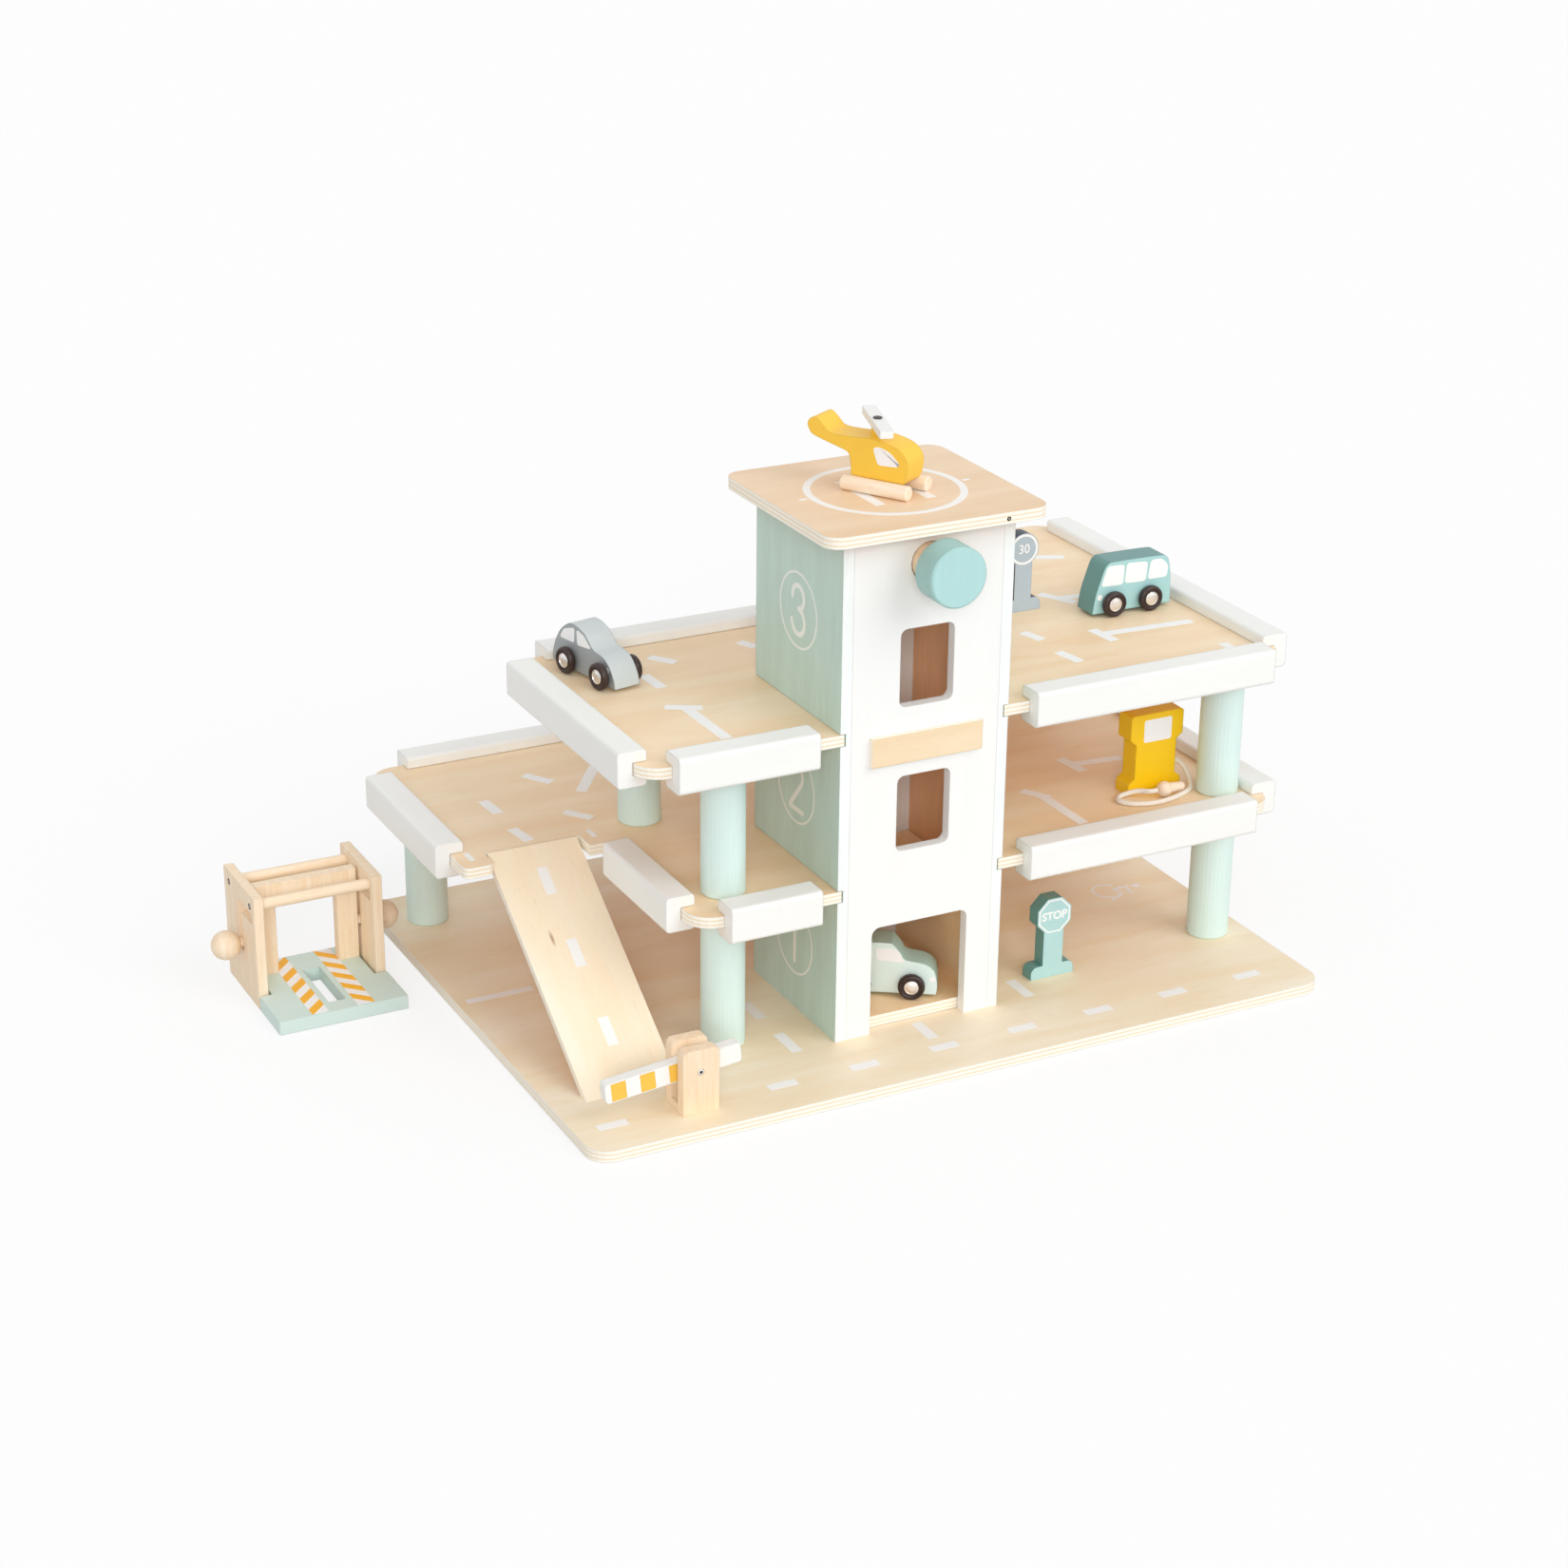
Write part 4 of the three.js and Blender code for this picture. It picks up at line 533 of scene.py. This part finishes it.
def metal(name, colour, rough):
    """Bright plated or blackened steel: its colour is its reflection, with fine polishing marks"""
    material = bpy.data.materials.new(name)
    material.use_nodes = True
    tree = material.node_tree
    where = add_node(tree, "ShaderNodeTexCoord", {})
    marks = add_node(tree, "ShaderNodeTexNoise", {
        "Vector": where.outputs["Object"], "Scale": 1500, "Detail": 2})
    bright = linear(colour)
    dull = [part * 0.85 for part in bright[:3]] + [1]
    tone = add_node(tree, "ShaderNodeMix", {
        0: marks.outputs[0], 6: bright, 7: dull}, data_type="RGBA")
    shine = add_node(tree, "ShaderNodeMapRange", {
        "Value": marks.outputs[0], 3: rough - 0.04, 4: rough + 0.08})
    shader = tree.nodes["Principled BSDF"]
    shader.inputs["Metallic"].default_value = 1
    tree.links.new(tone.outputs[2], shader.inputs["Base Color"])
    tree.links.new(shine.outputs[0], shader.inputs["Roughness"])
    return material


blackened_steel = metal("blackened_steel_screw", "#3a3734", 0.4)
roof_screw = turned(
    "roof_edge_screw", [(1.5, -1), (1.5, 0.1), (1.2, 0.3), (0.6, 0.3), (0.5, -0.2)], 24,
    blackened_steel)
place(roof_screw, at(318.3, 53, 366.6), (pi / 2, 0, 0))
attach(roof_screw, "garage")


# LIFT
# A painted crank knob on a beech shaft through both tower panels. A thin twisted cotton cord winds
# on the shaft and carries the open cabin, which is a frame of bare 8 mm birch plywood.
SHAFT_HEIGHT = 340.4
# the front face is painted a lighter teal than the rim and the back: a painted highlight of the
# light from the front
dress(
    satin_paint(
        "teal_satin_paint_on_knob", "#a2cbc6", edge=0.0012,
        other_sides=[((0, -1, 0), "#b5dedc")]),
    "crank_knob")


def smooth_beech(name, grain, light="#fde8cd", dark="#f4d6b0", turn=0):
    """Beech or close softwood, planed and sanded, without paint. The eye sees fine straight grain
    with slightly darker lines some 4 mm apart and short flecks"""
    material = bpy.data.materials.new(name)
    material.use_nodes = True
    tree = material.node_tree
    where = add_node(tree, "ShaderNodeTexCoord", {})
    along = add_node(tree, "ShaderNodeVectorRotate", {
        "Vector": where.outputs["Object"], "Angle": -turn}, rotation_type="Z_AXIS")
    wide = add_node(tree, "ShaderNodeMapping", {
        "Vector": along.outputs[0], "Scale": [260 * part for part in grain]})
    rings = add_node(tree, "ShaderNodeTexNoise", {
        "Vector": wide.outputs[0], "Scale": 1, "Detail": 4, "Roughness": 0.62, "Distortion": 0.3})
    fine = add_node(tree, "ShaderNodeMapping", {
        "Vector": along.outputs[0], "Scale": [1500 * part for part in grain]})
    flecks = add_node(tree, "ShaderNodeTexNoise", {
        "Vector": fine.outputs[0], "Scale": 1, "Detail": 2, "Roughness": 0.5})
    tone = add_node(tree, "ShaderNodeMapRange", {"Value": rings.outputs[0], 1: 0.32, 2: 0.72})
    wood = add_node(tree, "ShaderNodeMix", {
        0: tone.outputs[0], 6: linear(light), 7: linear(dark)}, data_type="RGBA")
    speck = add_node(tree, "ShaderNodeMapRange", {
        "Value": flecks.outputs[0], 1: 0.58, 2: 0.76, 3: 0, 4: 0.2})
    colour = add_node(tree, "ShaderNodeMix", {
        0: speck.outputs[0], 6: wood.outputs[2], 7: linear("#b98450")}, data_type="RGBA")
    shine = add_node(tree, "ShaderNodeMapRange", {"Value": flecks.outputs[0], 3: 0.45, 4: 0.62})
    soft_edge = add_node(tree, "ShaderNodeBevel", {"Radius": 0.0008}, samples=4)
    relief = add_node(tree, "ShaderNodeBump", {
        "Strength": 0.3, "Distance": 0.00012, "Height": flecks.outputs[0],
        "Normal": soft_edge.outputs[0]})
    shader = tree.nodes["Principled BSDF"]
    tree.links.new(colour.outputs[2], shader.inputs["Base Color"])
    tree.links.new(shine.outputs[0], shader.inputs["Roughness"])
    tree.links.new(relief.outputs[0], shader.inputs["Normal"])
    return material


dress(smooth_beech("beech_grain_front_to_back", (1, 0.05, 1)), "winding_shaft")
dress(
    birch_plywood(
        "birch_plywood_cabin",
        # its left and right side, its floor's underside and its top
        [((1, 0, 0), -64.7), ((-1, 0, 0), -44.7), ((0, 0, 1), 8.3), ((0, 0, -1), -97.3)],
        grain=(9, 1, 9), face="#fbd29e", light="#ffdfb4", ripple=0.6),
    "lift_cabin")

cotton = bpy.data.materials.new("twisted_cotton_cord")
cotton.use_nodes = True
tree = cotton.node_tree
where = add_node(tree, "ShaderNodeTexCoord", {})
# cotton yarn: dull and slightly hairy, fibres about 0.2 mm, drawn as coarse as they need to show
hairs = add_node(tree, "ShaderNodeTexNoise", {
    "Vector": where.outputs["Object"], "Scale": 3000, "Detail": 2})
yarn = add_node(tree, "ShaderNodeMix", {
    0: hairs.outputs[0], 6: linear("#f3ecdd"), 7: linear("#cfc3ab")}, data_type="RGBA")
fuzz = add_node(tree, "ShaderNodeBump", {
    "Strength": 0.5, "Distance": 0.0002, "Height": hairs.outputs[0]})
shader = tree.nodes["Principled BSDF"]
shader.inputs["Roughness"].default_value = 0.9
shader.inputs["Sheen Weight"].default_value = 0.3
tree.links.new(yarn.outputs[2], shader.inputs["Base Color"])
tree.links.new(fuzz.outputs[0], shader.inputs["Normal"])

CORD_X = 284.1
CORD_Y = 129.5
CORD_FOOT = 97.6
CORD_TWISTS = 36
bpy.ops.object.select_all(action="DESELECT")
bpy.ops.object.add(type="MESH")
lift_cord = bpy.context.object
lift_cord.name = "twisted_lift_cord"
bpy.ops.object.mode_set(mode="EDIT")
# three strands, each drawn upwards while it turns round the others
strand_radius = 0.00042
strand_reach = 0.00038
for strand in range(3):
    way = 2 * pi * strand / 3
    bpy.ops.mesh.primitive_circle_add(
        vertices=8, radius=strand_radius,
        location=(strand_reach * cos(way), strand_reach * sin(way), 0))
bpy.ops.mesh.select_all(action="SELECT")
bpy.ops.object.mode_set(mode="OBJECT")
twist = lift_cord.modifiers.new("twist", "SCREW")
twist.axis = "Z"
twist.angle = CORD_TWISTS * 2 * pi
twist.screw_offset = (SHAFT_HEIGHT - CORD_FOOT) / 1000
twist.steps = twist.render_steps = CORD_TWISTS * 10
twist.use_merge_vertices = False
bpy.ops.object.modifier_apply(modifier="twist")
bpy.ops.object.mode_set(mode="EDIT")
bpy.ops.mesh.select_all(action="SELECT")
bpy.ops.mesh.normals_make_consistent(inside=False)
bpy.ops.object.mode_set(mode="OBJECT")
bpy.ops.object.shade_smooth_by_angle(angle=radians(60))
lift_cord.data.materials.append(cotton)
place(lift_cord, at(CORD_X, CORD_Y, CORD_FOOT))
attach(lift_cord, "garage")
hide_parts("lift_cord")
# as the cabin rises 214.6 mm, the free cord shortens from 242.8 mm to 28.2 mm
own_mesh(lift_cord)


# RAMP
# A 5 mm birch plywood board from the base to the notch of the lower deck. It has three printed
# dashes and one small knot.
RAMP_SLOPE = atan2(111.5, 162.7)
RAMP_FOOT = (56.25, 65, GROUND)
RAMP_THICKNESS = 5
ramp_up = (0, -sin(RAMP_SLOPE), cos(RAMP_SLOPE))
# how far its upper face lies from the frame's origin, in mm
ramp_face = Vector(at(*RAMP_FOOT)).dot(Vector(ramp_up)) * 1000
ramp_wood = birch_plywood(
    "birch_plywood_ramp", [(ramp_up, ramp_face - RAMP_THICKNESS)], grain=(6, 1, 1),
    face="#ffebcb", light="#fff3de")
# one pin knot, 3 by 12 mm, brown in the middle and fading into the wood
tree = ramp_wood.node_tree
wood_colour = tree.nodes["Principled BSDF"].inputs["Base Color"]
where = add_node(tree, "ShaderNodeTexCoord", {})
to_knot = add_node(tree, "ShaderNodeMapping", {
    "Vector": where.outputs["Object"], "Location": at(44, 166.6, 77.7),
    "Rotation": (RAMP_SLOPE, 0, 0), "Scale": (0.0016, 0.0075, 0.02)}, vector_type="TEXTURE")
knot_reach = add_node(tree, "ShaderNodeVectorMath", {0: to_knot.outputs[0]}, operation="LENGTH")
knot_share = add_node(tree, "ShaderNodeMapRange", {
    "Value": knot_reach.outputs["Value"], 1: 0.2, 2: 1, 3: 0.75, 4: 0})
knotty = add_node(tree, "ShaderNodeMix", {
    0: knot_share.outputs[0], 6: wood_colour.links[0].from_socket, 7: linear("#a8723f")},
    data_type="RGBA")
tree.links.new(knotty.outputs[2], wood_colour)
dress(ramp_wood, "ramp")
ramp_dashes = [
    bar(0, (y - 9) / cos(RAMP_SLOPE), 0, (y + 9) / cos(RAMP_SLOPE), 7.5) for y in (39, 90, 138)]
ramp_print = print_marks(
    "ramp_dashes", ramp_dashes, white_ink, "garage", at(*RAMP_FOOT), (RAMP_SLOPE, 0, 0))


# BARRIER
# A solid beech post with a sawn slot, and a white painted boom that turns on a steel pin through
# the post. The amber stripes are painted on both sides of the boom.
PIVOT = (84, 33.3, 37.8)
BOOM_TILT = radians(-5.5)
dress(smooth_beech("beech_barrier_post", (1, 1, 0.05)), "barrier_post")
dress(
    satin_paint("white_satin_paint_on_boom", "#f8f8f5", grain=(0.05, 1, 1), shade=0.02),
    "barrier_boom")
amber_paint = satin_paint("amber_satin_paint", "#f9c74c", grain=(1, 1, 1), shade=0.03)
for name, sign, y, way in (("front", 1, 29.3, 0), ("back", -1, 37.3, pi)):
    stripes = [bar(sign * x, -6.3, sign * x, 6.3, 10.5) for x in (-54, -33.5, -13.1)]
    upright = Matrix.Rotation(way, 3, "Z") @ Matrix.Rotation(pi / 2, 3, "X")
    band = print_marks(
        "boom_stripes_" + name, stripes, amber_paint, "boom", at(PIVOT[0], y, PIVOT[2]),
        (Matrix.Rotation(BOOM_TILT, 3, "Y") @ upright).to_euler(), corner=0.8)
pin_profile = [(1.1, -0.5), (1.1, 0.05), (0.8, 0.2), (0.3, 0.25)]
for name, y, way in (("front", 20.3, 0), ("back", 46.3, pi)):
    pin_end = turned("barrier_pin_" + name, pin_profile, 20, blackened_steel)
    place(pin_end, at(PIVOT[0], y, PIVOT[2]), (pi / 2, 0, way))
    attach(pin_end, "boom")


# TOY VEHICLES
# Block bodies sawn from beech and painted, with white windows and lamps printed on both sides.
# Each rolls on two steel axles with dark brown moulded tyres and domed nickel caps.
def turned_outline(outline, sign, shift):
    """The outline seen on one side of the body, its lengths counted from the middle"""
    return [(sign * (along + shift), up) for along, up in outline]


# name, spot on its floor, heading in degrees, half the body's width, shift of the outlines along
# the body, colours of its back and of its sides (one paint, as painted light and shade), outlines
# of the windows, middle of the lamp
vehicles = (
    ("round_car", (109.5, 236.8, 231), -78.9, 10, 5.7, "#ced5d6", "#a3a9ab", [
        [(-33.9, 21.5), (-28.8, 28.8), (-16, 33), (-16.4, 21.9)],
        [(-13, 21.3), (-13.7, 32.6), (-4.9, 30.4), (3.5, 23)]], (22, 13.6)),
    ("bus", (505.7, 196.5, 231), 180, 10, 0, "#6a9895", "#abd8d9", [
        [(26.5, 22.5), (21.5, 37.3), (7.3, 36.6), (8.1, 21.8)],
        [(6.8, 22.5), (5.4, 37.5), (-12.3, 36.1), (-11.1, 21.6)],
        [(-12.7, 22.5), (-14.8, 36.7), (-23.9, 36.8), (-29.7, 31.2), (-29.1, 22.4)]], (27.1, 14.5)),
    ("lift_car", (268, 109.5, 16.3), -32.2, 10, 18.7, "#bfe0d6", "#e3f6f1", [
        [(-25.6, 35.7), (-10.6, 35.8), (-5.2, 25.4), (-24.4, 26.9)],
        [(-28.4, 35.6), (-27.6, 26.9), (-44, 26.4), (-45.4, 31.6), (-43.2, 35.2)]], (14, 13.8)),
)
tyre_plastic = satin_paint(
    "brown_moulded_plastic_tyre", "#33211d", grain=(1, 1, 1), shade=0.15, shine=0.38)
nickel = metal("nickel_plated_cap", "#f6f3f2", 0.3)
# half a wheelset as radius and distance from its middle in mm, its tread 0.15 mm under the CAD
# wheel's, so that it rolls over the printed lines
half_wheelset = [
    (1.9, 10.4), (2.2, 11.3), (7.6, 11.3), (8.6, 11.5), (9.1, 12), (9.35, 12.7), (9.35, 14.5),
    (9.15, 15.3), (8.7, 15.9), (8, 16.25), (7.5, 16.3), (7.2, 16.05), (6.9, 15.5), (6.1, 15.2),
    (5.5, 15.2), (5.1, 15.6)]
half_cap = [(5.1, 15.2), (5.1, 15.7), (4.85, 15.95), (4.4, 16), (4.2, 15.7), (3.9, 15.75),
            (3.1, 16.08), (2.1, 16.22), (1, 16.29)]
other_half = [(radius, -height) for radius, height in half_wheelset[::-1]]
wheelset = turned("wheelset", other_half + half_wheelset, 48, tyre_plastic)
left_cap = turned("left_cap", half_cap, 40, nickel)
right_cap = turned("right_cap", half_cap, 40, nickel)
place(right_cap, (0, 0, 0), (pi, 0, 0))
bpy.ops.object.select_all(action="DESELECT")
for part in (left_cap, right_cap, wheelset):
    part.select_set(True)
bpy.context.view_layer.objects.active = wheelset
bpy.ops.object.join()
place(wheelset, (0, 0, 0), (-pi / 2, 0, 0))
window_ink = printed_ink("white_window_ink", "#fafafb", "#e9eeee")
for name, middle, heading, half_width, shift, colour, side_colour, windows, lamp in vehicles:
    across = Vector((sin(radians(heading)), -cos(radians(heading)), 0))
    # the sides take a second tone of the same paint, as painted light and shade: darker than the
    # top and ends on the round car, lighter on the bus and the lift car
    body_paint_with_painted_light = satin_paint(
        name + "_satin_paint", colour, grain=(1, 1, 1), shade=0.03, edge=0.0013,
        other_sides=[(across, side_colour), (-across, side_colour)])
    dress(body_paint_with_painted_light, name + "_body")
    for side, sign in (("right", 1), ("left", -1)):
        way = radians(heading) + (0 if sign > 0 else pi)
        spot = Vector(at(*middle)) + across * sign * half_width / 1000
        panes = print_marks(
            f"{name}_{side}_windows", [turned_outline(window, sign, shift) for window in windows],
            window_ink, name, spot, (pi / 2, 0, way), corner=2.4)
        lamp_outline = turned_outline(arc(lamp[0], lamp[1], 2.1, 0, 340), sign, shift)
        lamp_print = print_marks(
            f"{name}_{side}_lamp", [lamp_outline], window_ink, name, spot, (pi / 2, 0, way))
    for end in ("rear", "front"):
        low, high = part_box(f"{name}_{end}_wheels")
        copy = wheelset.copy()
        copy.data = wheelset.data.copy()
        copy.name = f"{name}_{end}_wheelset"
        bpy.context.collection.objects.link(copy)
        place(copy, (Vector(low) + Vector(high)) / 2, (0, 0, radians(heading)))
        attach(copy, f"{name}_{end}_axle")
        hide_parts(f"{name}_{end}_wheels")
bpy.data.objects.remove(wheelset)


# HELICOPTER
# A yellow block body with a sawn tail and printed windows, glued on two beech dowels. The white
# blade turns on a dark steel pin.
HELICOPTER = (265.5, 133.8, 371)
HELICOPTER_HEADING = radians(-58.85)
HELICOPTER_HALF_WIDTH = 10.5
PIN_FROM = 418.3
yellow_paint = satin_paint(
    "yellow_satin_paint_on_helicopter", "#fdcd44", grain=(1, 1, 1), shade=0.03, edge=0.0013)
# the pin is one piece with the body in the CAD, so its steel starts at a height
tree = yellow_paint.node_tree
paint_colour = tree.nodes["Principled BSDF"].inputs["Base Color"]
where = add_node(tree, "ShaderNodeTexCoord", {})
parts = add_node(tree, "ShaderNodeSeparateXYZ", {0: where.outputs["Object"]})
on_pin = add_node(tree, "ShaderNodeMath", {
    0: parts.outputs["Z"], 1: PIN_FROM / 1000}, operation="GREATER_THAN")
steel = add_node(tree, "ShaderNodeMix", {
    0: on_pin.outputs[0], 6: paint_colour.links[0].from_socket, 7: linear("#4a4540")},
    data_type="RGBA")
tree.links.new(steel.outputs[2], paint_colour)
dress(yellow_paint, "helicopter_body")
dress(
    smooth_beech(
        "beech_skid", (0.05, 1, 1), light="#fff0dc", dark="#fae0c2", turn=HELICOPTER_HEADING),
    "helicopter_left_skid", "helicopter_right_skid")
dress(
    satin_paint("white_satin_paint_on_blade", "#f8f8f5", grain=(1, 1, 1), shade=0.02),
    "helicopter_rotor")
cockpit = [(-4.3, 30.5), (0.5, 31.9), (8.4, 29.5), (15.9, 22.8), (14.8, 20.3), (-0.3, 19.4)]
for side, sign in (("right", 1), ("left", -1)):
    way = HELICOPTER_HEADING + (0 if sign > 0 else pi)
    spot = Vector(at(*HELICOPTER)) + Vector((sin(way), -cos(way), 0)) * HELICOPTER_HALF_WIDTH / 1000
    panes = print_marks(
        f"helicopter_{side}_window", [turned_outline(cockpit, sign, 7.1)], window_ink,
        "helicopter", spot, (pi / 2, 0, way), corner=2.2)


# ROAD SIGNS
# Two sawn and painted sign blocks. The words are printed on their faces, and the sides are a
# darker shade of the same paint.
def letters(name, text, size, stroke, spot):
    """Printed letters on a sign, of a size and with an added stroke in mm, their middle at spot"""
    bpy.ops.object.select_all(action="DESELECT")
    bpy.ops.object.text_add()
    word = bpy.context.object
    word.name = name
    word.data.body = text
    word.data.size = size / 1000
    word.data.offset = stroke / 1000
    word.data.extrude = 0.00006
    word.data.align_x = "CENTER"
    word.data.align_y = "CENTER"
    bpy.ops.object.convert(target="MESH")
    place(word, (spot[0], spot[1] - 0.00006, spot[2]), (pi / 2, 0, 0))
    word.data.materials.clear()
    word.data.materials.append(window_ink)
    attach(word, "garage")


STOP = (391, 90, 55)
dress(
    satin_paint(
        "teal_satin_paint_on_stop_sign", "#6fa09b", grain=(1, 1, 1), shade=0.04,
        other_sides=[((0, -1, 0), "#b4dbdc"), ((0, 1, 0), "#b4dbdc")]),
    "stop_sign")
# the border is eight strokes from corner to corner, 11.9 mm from the sign's middle
reach = 11.9 / cos(pi / 8)
angles = [radians(22.5 + 45 * step) for step in range(9)]
corners = [(reach * cos(angle), reach * sin(angle)) for angle in angles]
edge_strips = [brush([start, end], 1.1) for start, end in zip(corners, corners[1:])]
stop_edge = print_marks(
    "stop_sign_border", edge_strips, window_ink, "garage", at(*STOP), (pi / 2, 0, 0), height=0.1)
letters("stop_sign_word", "STOP", 8.4, 0.26, at(*STOP))

SPEED = (435, 220.5, 277.6)
dress(
    satin_paint(
        "grey_satin_paint_on_speed_sign", "#3a414d", grain=(1, 1, 1), shade=0.04,
        other_sides=[((0, -1, 0), "#b6c4cf"), ((0, 1, 0), "#b6c4cf")]),
    "speed_sign")
speed_ring = print_marks(
    "speed_sign_ring", [], window_ink, "garage", at(*SPEED), (pi / 2, 0, 0),
    rings=[(0, 0, 11.3, 1.7)])
letters("speed_sign_number", "30", 9.5, 0.05, at(*SPEED))


# FUEL PUMP
# A sawn yellow block with a printed white screen. A soft white cord stands for the hose: it leaves
# the right side, falls to the deck and loops round to a turned beech bead and nozzle.
dress(
    satin_paint("yellow_satin_paint_on_pump", "#ffd004", grain=(1, 1, 1), shade=0.03, edge=0.0014),
    "fuel_pump")
screen = [(-11.5, -8.5), (11.5, -8.5), (11.5, 8.5), (-11.5, 8.5)]
pump_screen = print_marks(
    "pump_screen", [screen], window_ink, "garage", at(490, 121, 166.5), (pi / 2, 0, 0), corner=1.8)
dress(smooth_beech("beech_nozzle", (0.2, 1, 1), light="#fdeddc", dark="#f8dcc0"), "pump_nozzle")

HOSE_DIAMETER = 3.6
# from the pump's side down to the deck, round its loop and up to the bead of the nozzle
hose_points = [
    (506.3, 129.0, 137.0), (510.5, 129.0, 137.0), (514.6, 127.2, 134.8), (517.2, 123.0, 129.8),
    (517.0, 117.2, 124.6), (513.6, 111.6, 121.8), (507.2, 106.6, 121.6), (498.6, 102.6, 121.6),
    (487.6, 99.6, 121.6), (475.6, 98.8, 121.6), (464.8, 101.6, 121.6), (457.2, 107.2, 121.6),
    (455.0, 113.6, 121.6), (458.6, 118.0, 122.0), (465.6, 118.6, 123.0), (473.2, 115.4, 124.6),
    (478.6, 109.8, 125.4), (484.1, 109.0, 125.5)]
route = bpy.data.curves.new("pump_hose_cord", "CURVE")
route.dimensions = "3D"
line = route.splines.new("BEZIER")
line.bezier_points.add(len(hose_points) - 1)
for bend, point in zip(line.bezier_points, hose_points):
    bend.co = at(*point)
    bend.handle_left_type = bend.handle_right_type = "AUTO"
route.bevel_depth = HOSE_DIAMETER / 2000
route.bevel_resolution = 4
route.resolution_u = 8
route.use_fill_caps = True
hose = bpy.data.objects.new("pump_hose_cord", route)
bpy.context.collection.objects.link(hose)
soft_cord = bpy.data.materials.new("white_braided_cotton_cord")
soft_cord.use_nodes = True
tree = soft_cord.node_tree
where = add_node(tree, "ShaderNodeTexCoord", {})
# a fine braid with stitches of about 0.5 mm
braid = add_node(tree, "ShaderNodeTexVoronoi", {"Vector": where.outputs["Object"], "Scale": 1700})
thread = add_node(tree, "ShaderNodeMix", {
    0: braid.outputs[0], 6: linear("#fbf6ef"), 7: linear("#e9e0d4")}, data_type="RGBA")
stitches = add_node(tree, "ShaderNodeBump", {
    "Strength": 0.4, "Distance": 0.0002, "Height": braid.outputs[0]})
shader = tree.nodes["Principled BSDF"]
shader.inputs["Roughness"].default_value = 0.8
shader.inputs["Sheen Weight"].default_value = 0.25
tree.links.new(thread.outputs[2], shader.inputs["Base Color"])
tree.links.new(stitches.outputs[0], shader.inputs["Normal"])
route.materials.append(soft_cord)
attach(hose, "garage")
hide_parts("pump_hose")


# CAR HOIST
# Two bare side boards joined by dowels, and a mint platform that hangs by a glued frame and two
# ball knobs in the hooked slots. Hazard strips are printed on both sides of the platform's opening.
upright_beech = smooth_beech("beech_hoist_boards", (1, 1, 0.05), light="#feecd3", dark="#f6dab6")
dress(upright_beech, "hoist_left_side", "hoist_right_side", "hoist_gantry")
dress(
    smooth_beech("beech_hoist_dowels", (0.05, 1, 1), light="#feecd3", dark="#f6dab6"),
    "hoist_front_dowel", "hoist_back_dowel")
dress(
    satin_paint("mint_satin_paint_on_platform", "#d6e9e2", grain=(0.1, 1, 1), shade=0.03),
    "hoist_platform")

HOIST_MIDDLE = -73.25
PLATFORM_TOP = 10.3
STRIPE_START = 260
STRIPE_PITCH = 9.2
STRIPE_SLANT = 1.2
amber_ink = printed_ink("amber_screen_ink", "#ffba14")
for side, sign in (("left", -1), ("right", 1)):
    bpy.ops.object.select_all(action="DESELECT")
    bpy.ops.mesh.primitive_cube_add(size=1)
    strip = bpy.context.object
    strip.name = f"hoist_hazard_strip_{side}"
    strip.scale = (0.012, 0.0925, 0.00012)
    place(strip, at(HOIST_MIDDLE + sign * 16.5, 303.5, PLATFORM_TOP + 0.06))
    # cut slantwise into stripes, which take the two colours in turn
    bpy.ops.object.mode_set(mode="EDIT")
    for step in range(-8, 16):
        bpy.ops.mesh.select_all(action="SELECT")
        bpy.ops.mesh.bisect(
            plane_co=at(HOIST_MIDDLE, STRIPE_START + step * STRIPE_PITCH, PLATFORM_TOP),
            plane_no=(sign * STRIPE_SLANT, 1, 0))
    bpy.ops.object.mode_set(mode="OBJECT")
    strip.data.materials.append(amber_ink)
    strip.data.materials.append(window_ink)
    middle_x, start_y, _ = at(HOIST_MIDDLE, STRIPE_START, 0)
    for face in strip.data.polygons:
        along = face.center[1] - start_y + sign * STRIPE_SLANT * (face.center[0] - middle_x)
        face.material_index = int(along * 1000 // STRIPE_PITCH) % 2
    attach(strip, "hoist")
# a screw through each side board into the end of each dowel
SCREW_HEIGHT = 74.5
screw_profile = [(2.4, -0.6), (2.4, 0.05), (2.1, 0.2), (1.2, 0.2), (1, -0.1)]
for name, y in (("front", 309), ("back", 354.5)):
    for side, x, way in (("left", -119.5, -pi / 2), ("right", -27, pi / 2)):
        screw = turned(f"hoist_{side}_{name}_screw", screw_profile, 24, blackened_steel)
        place(screw, at(x, y, SCREW_HEIGHT), (0, way, 0))
        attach(screw, "garage")
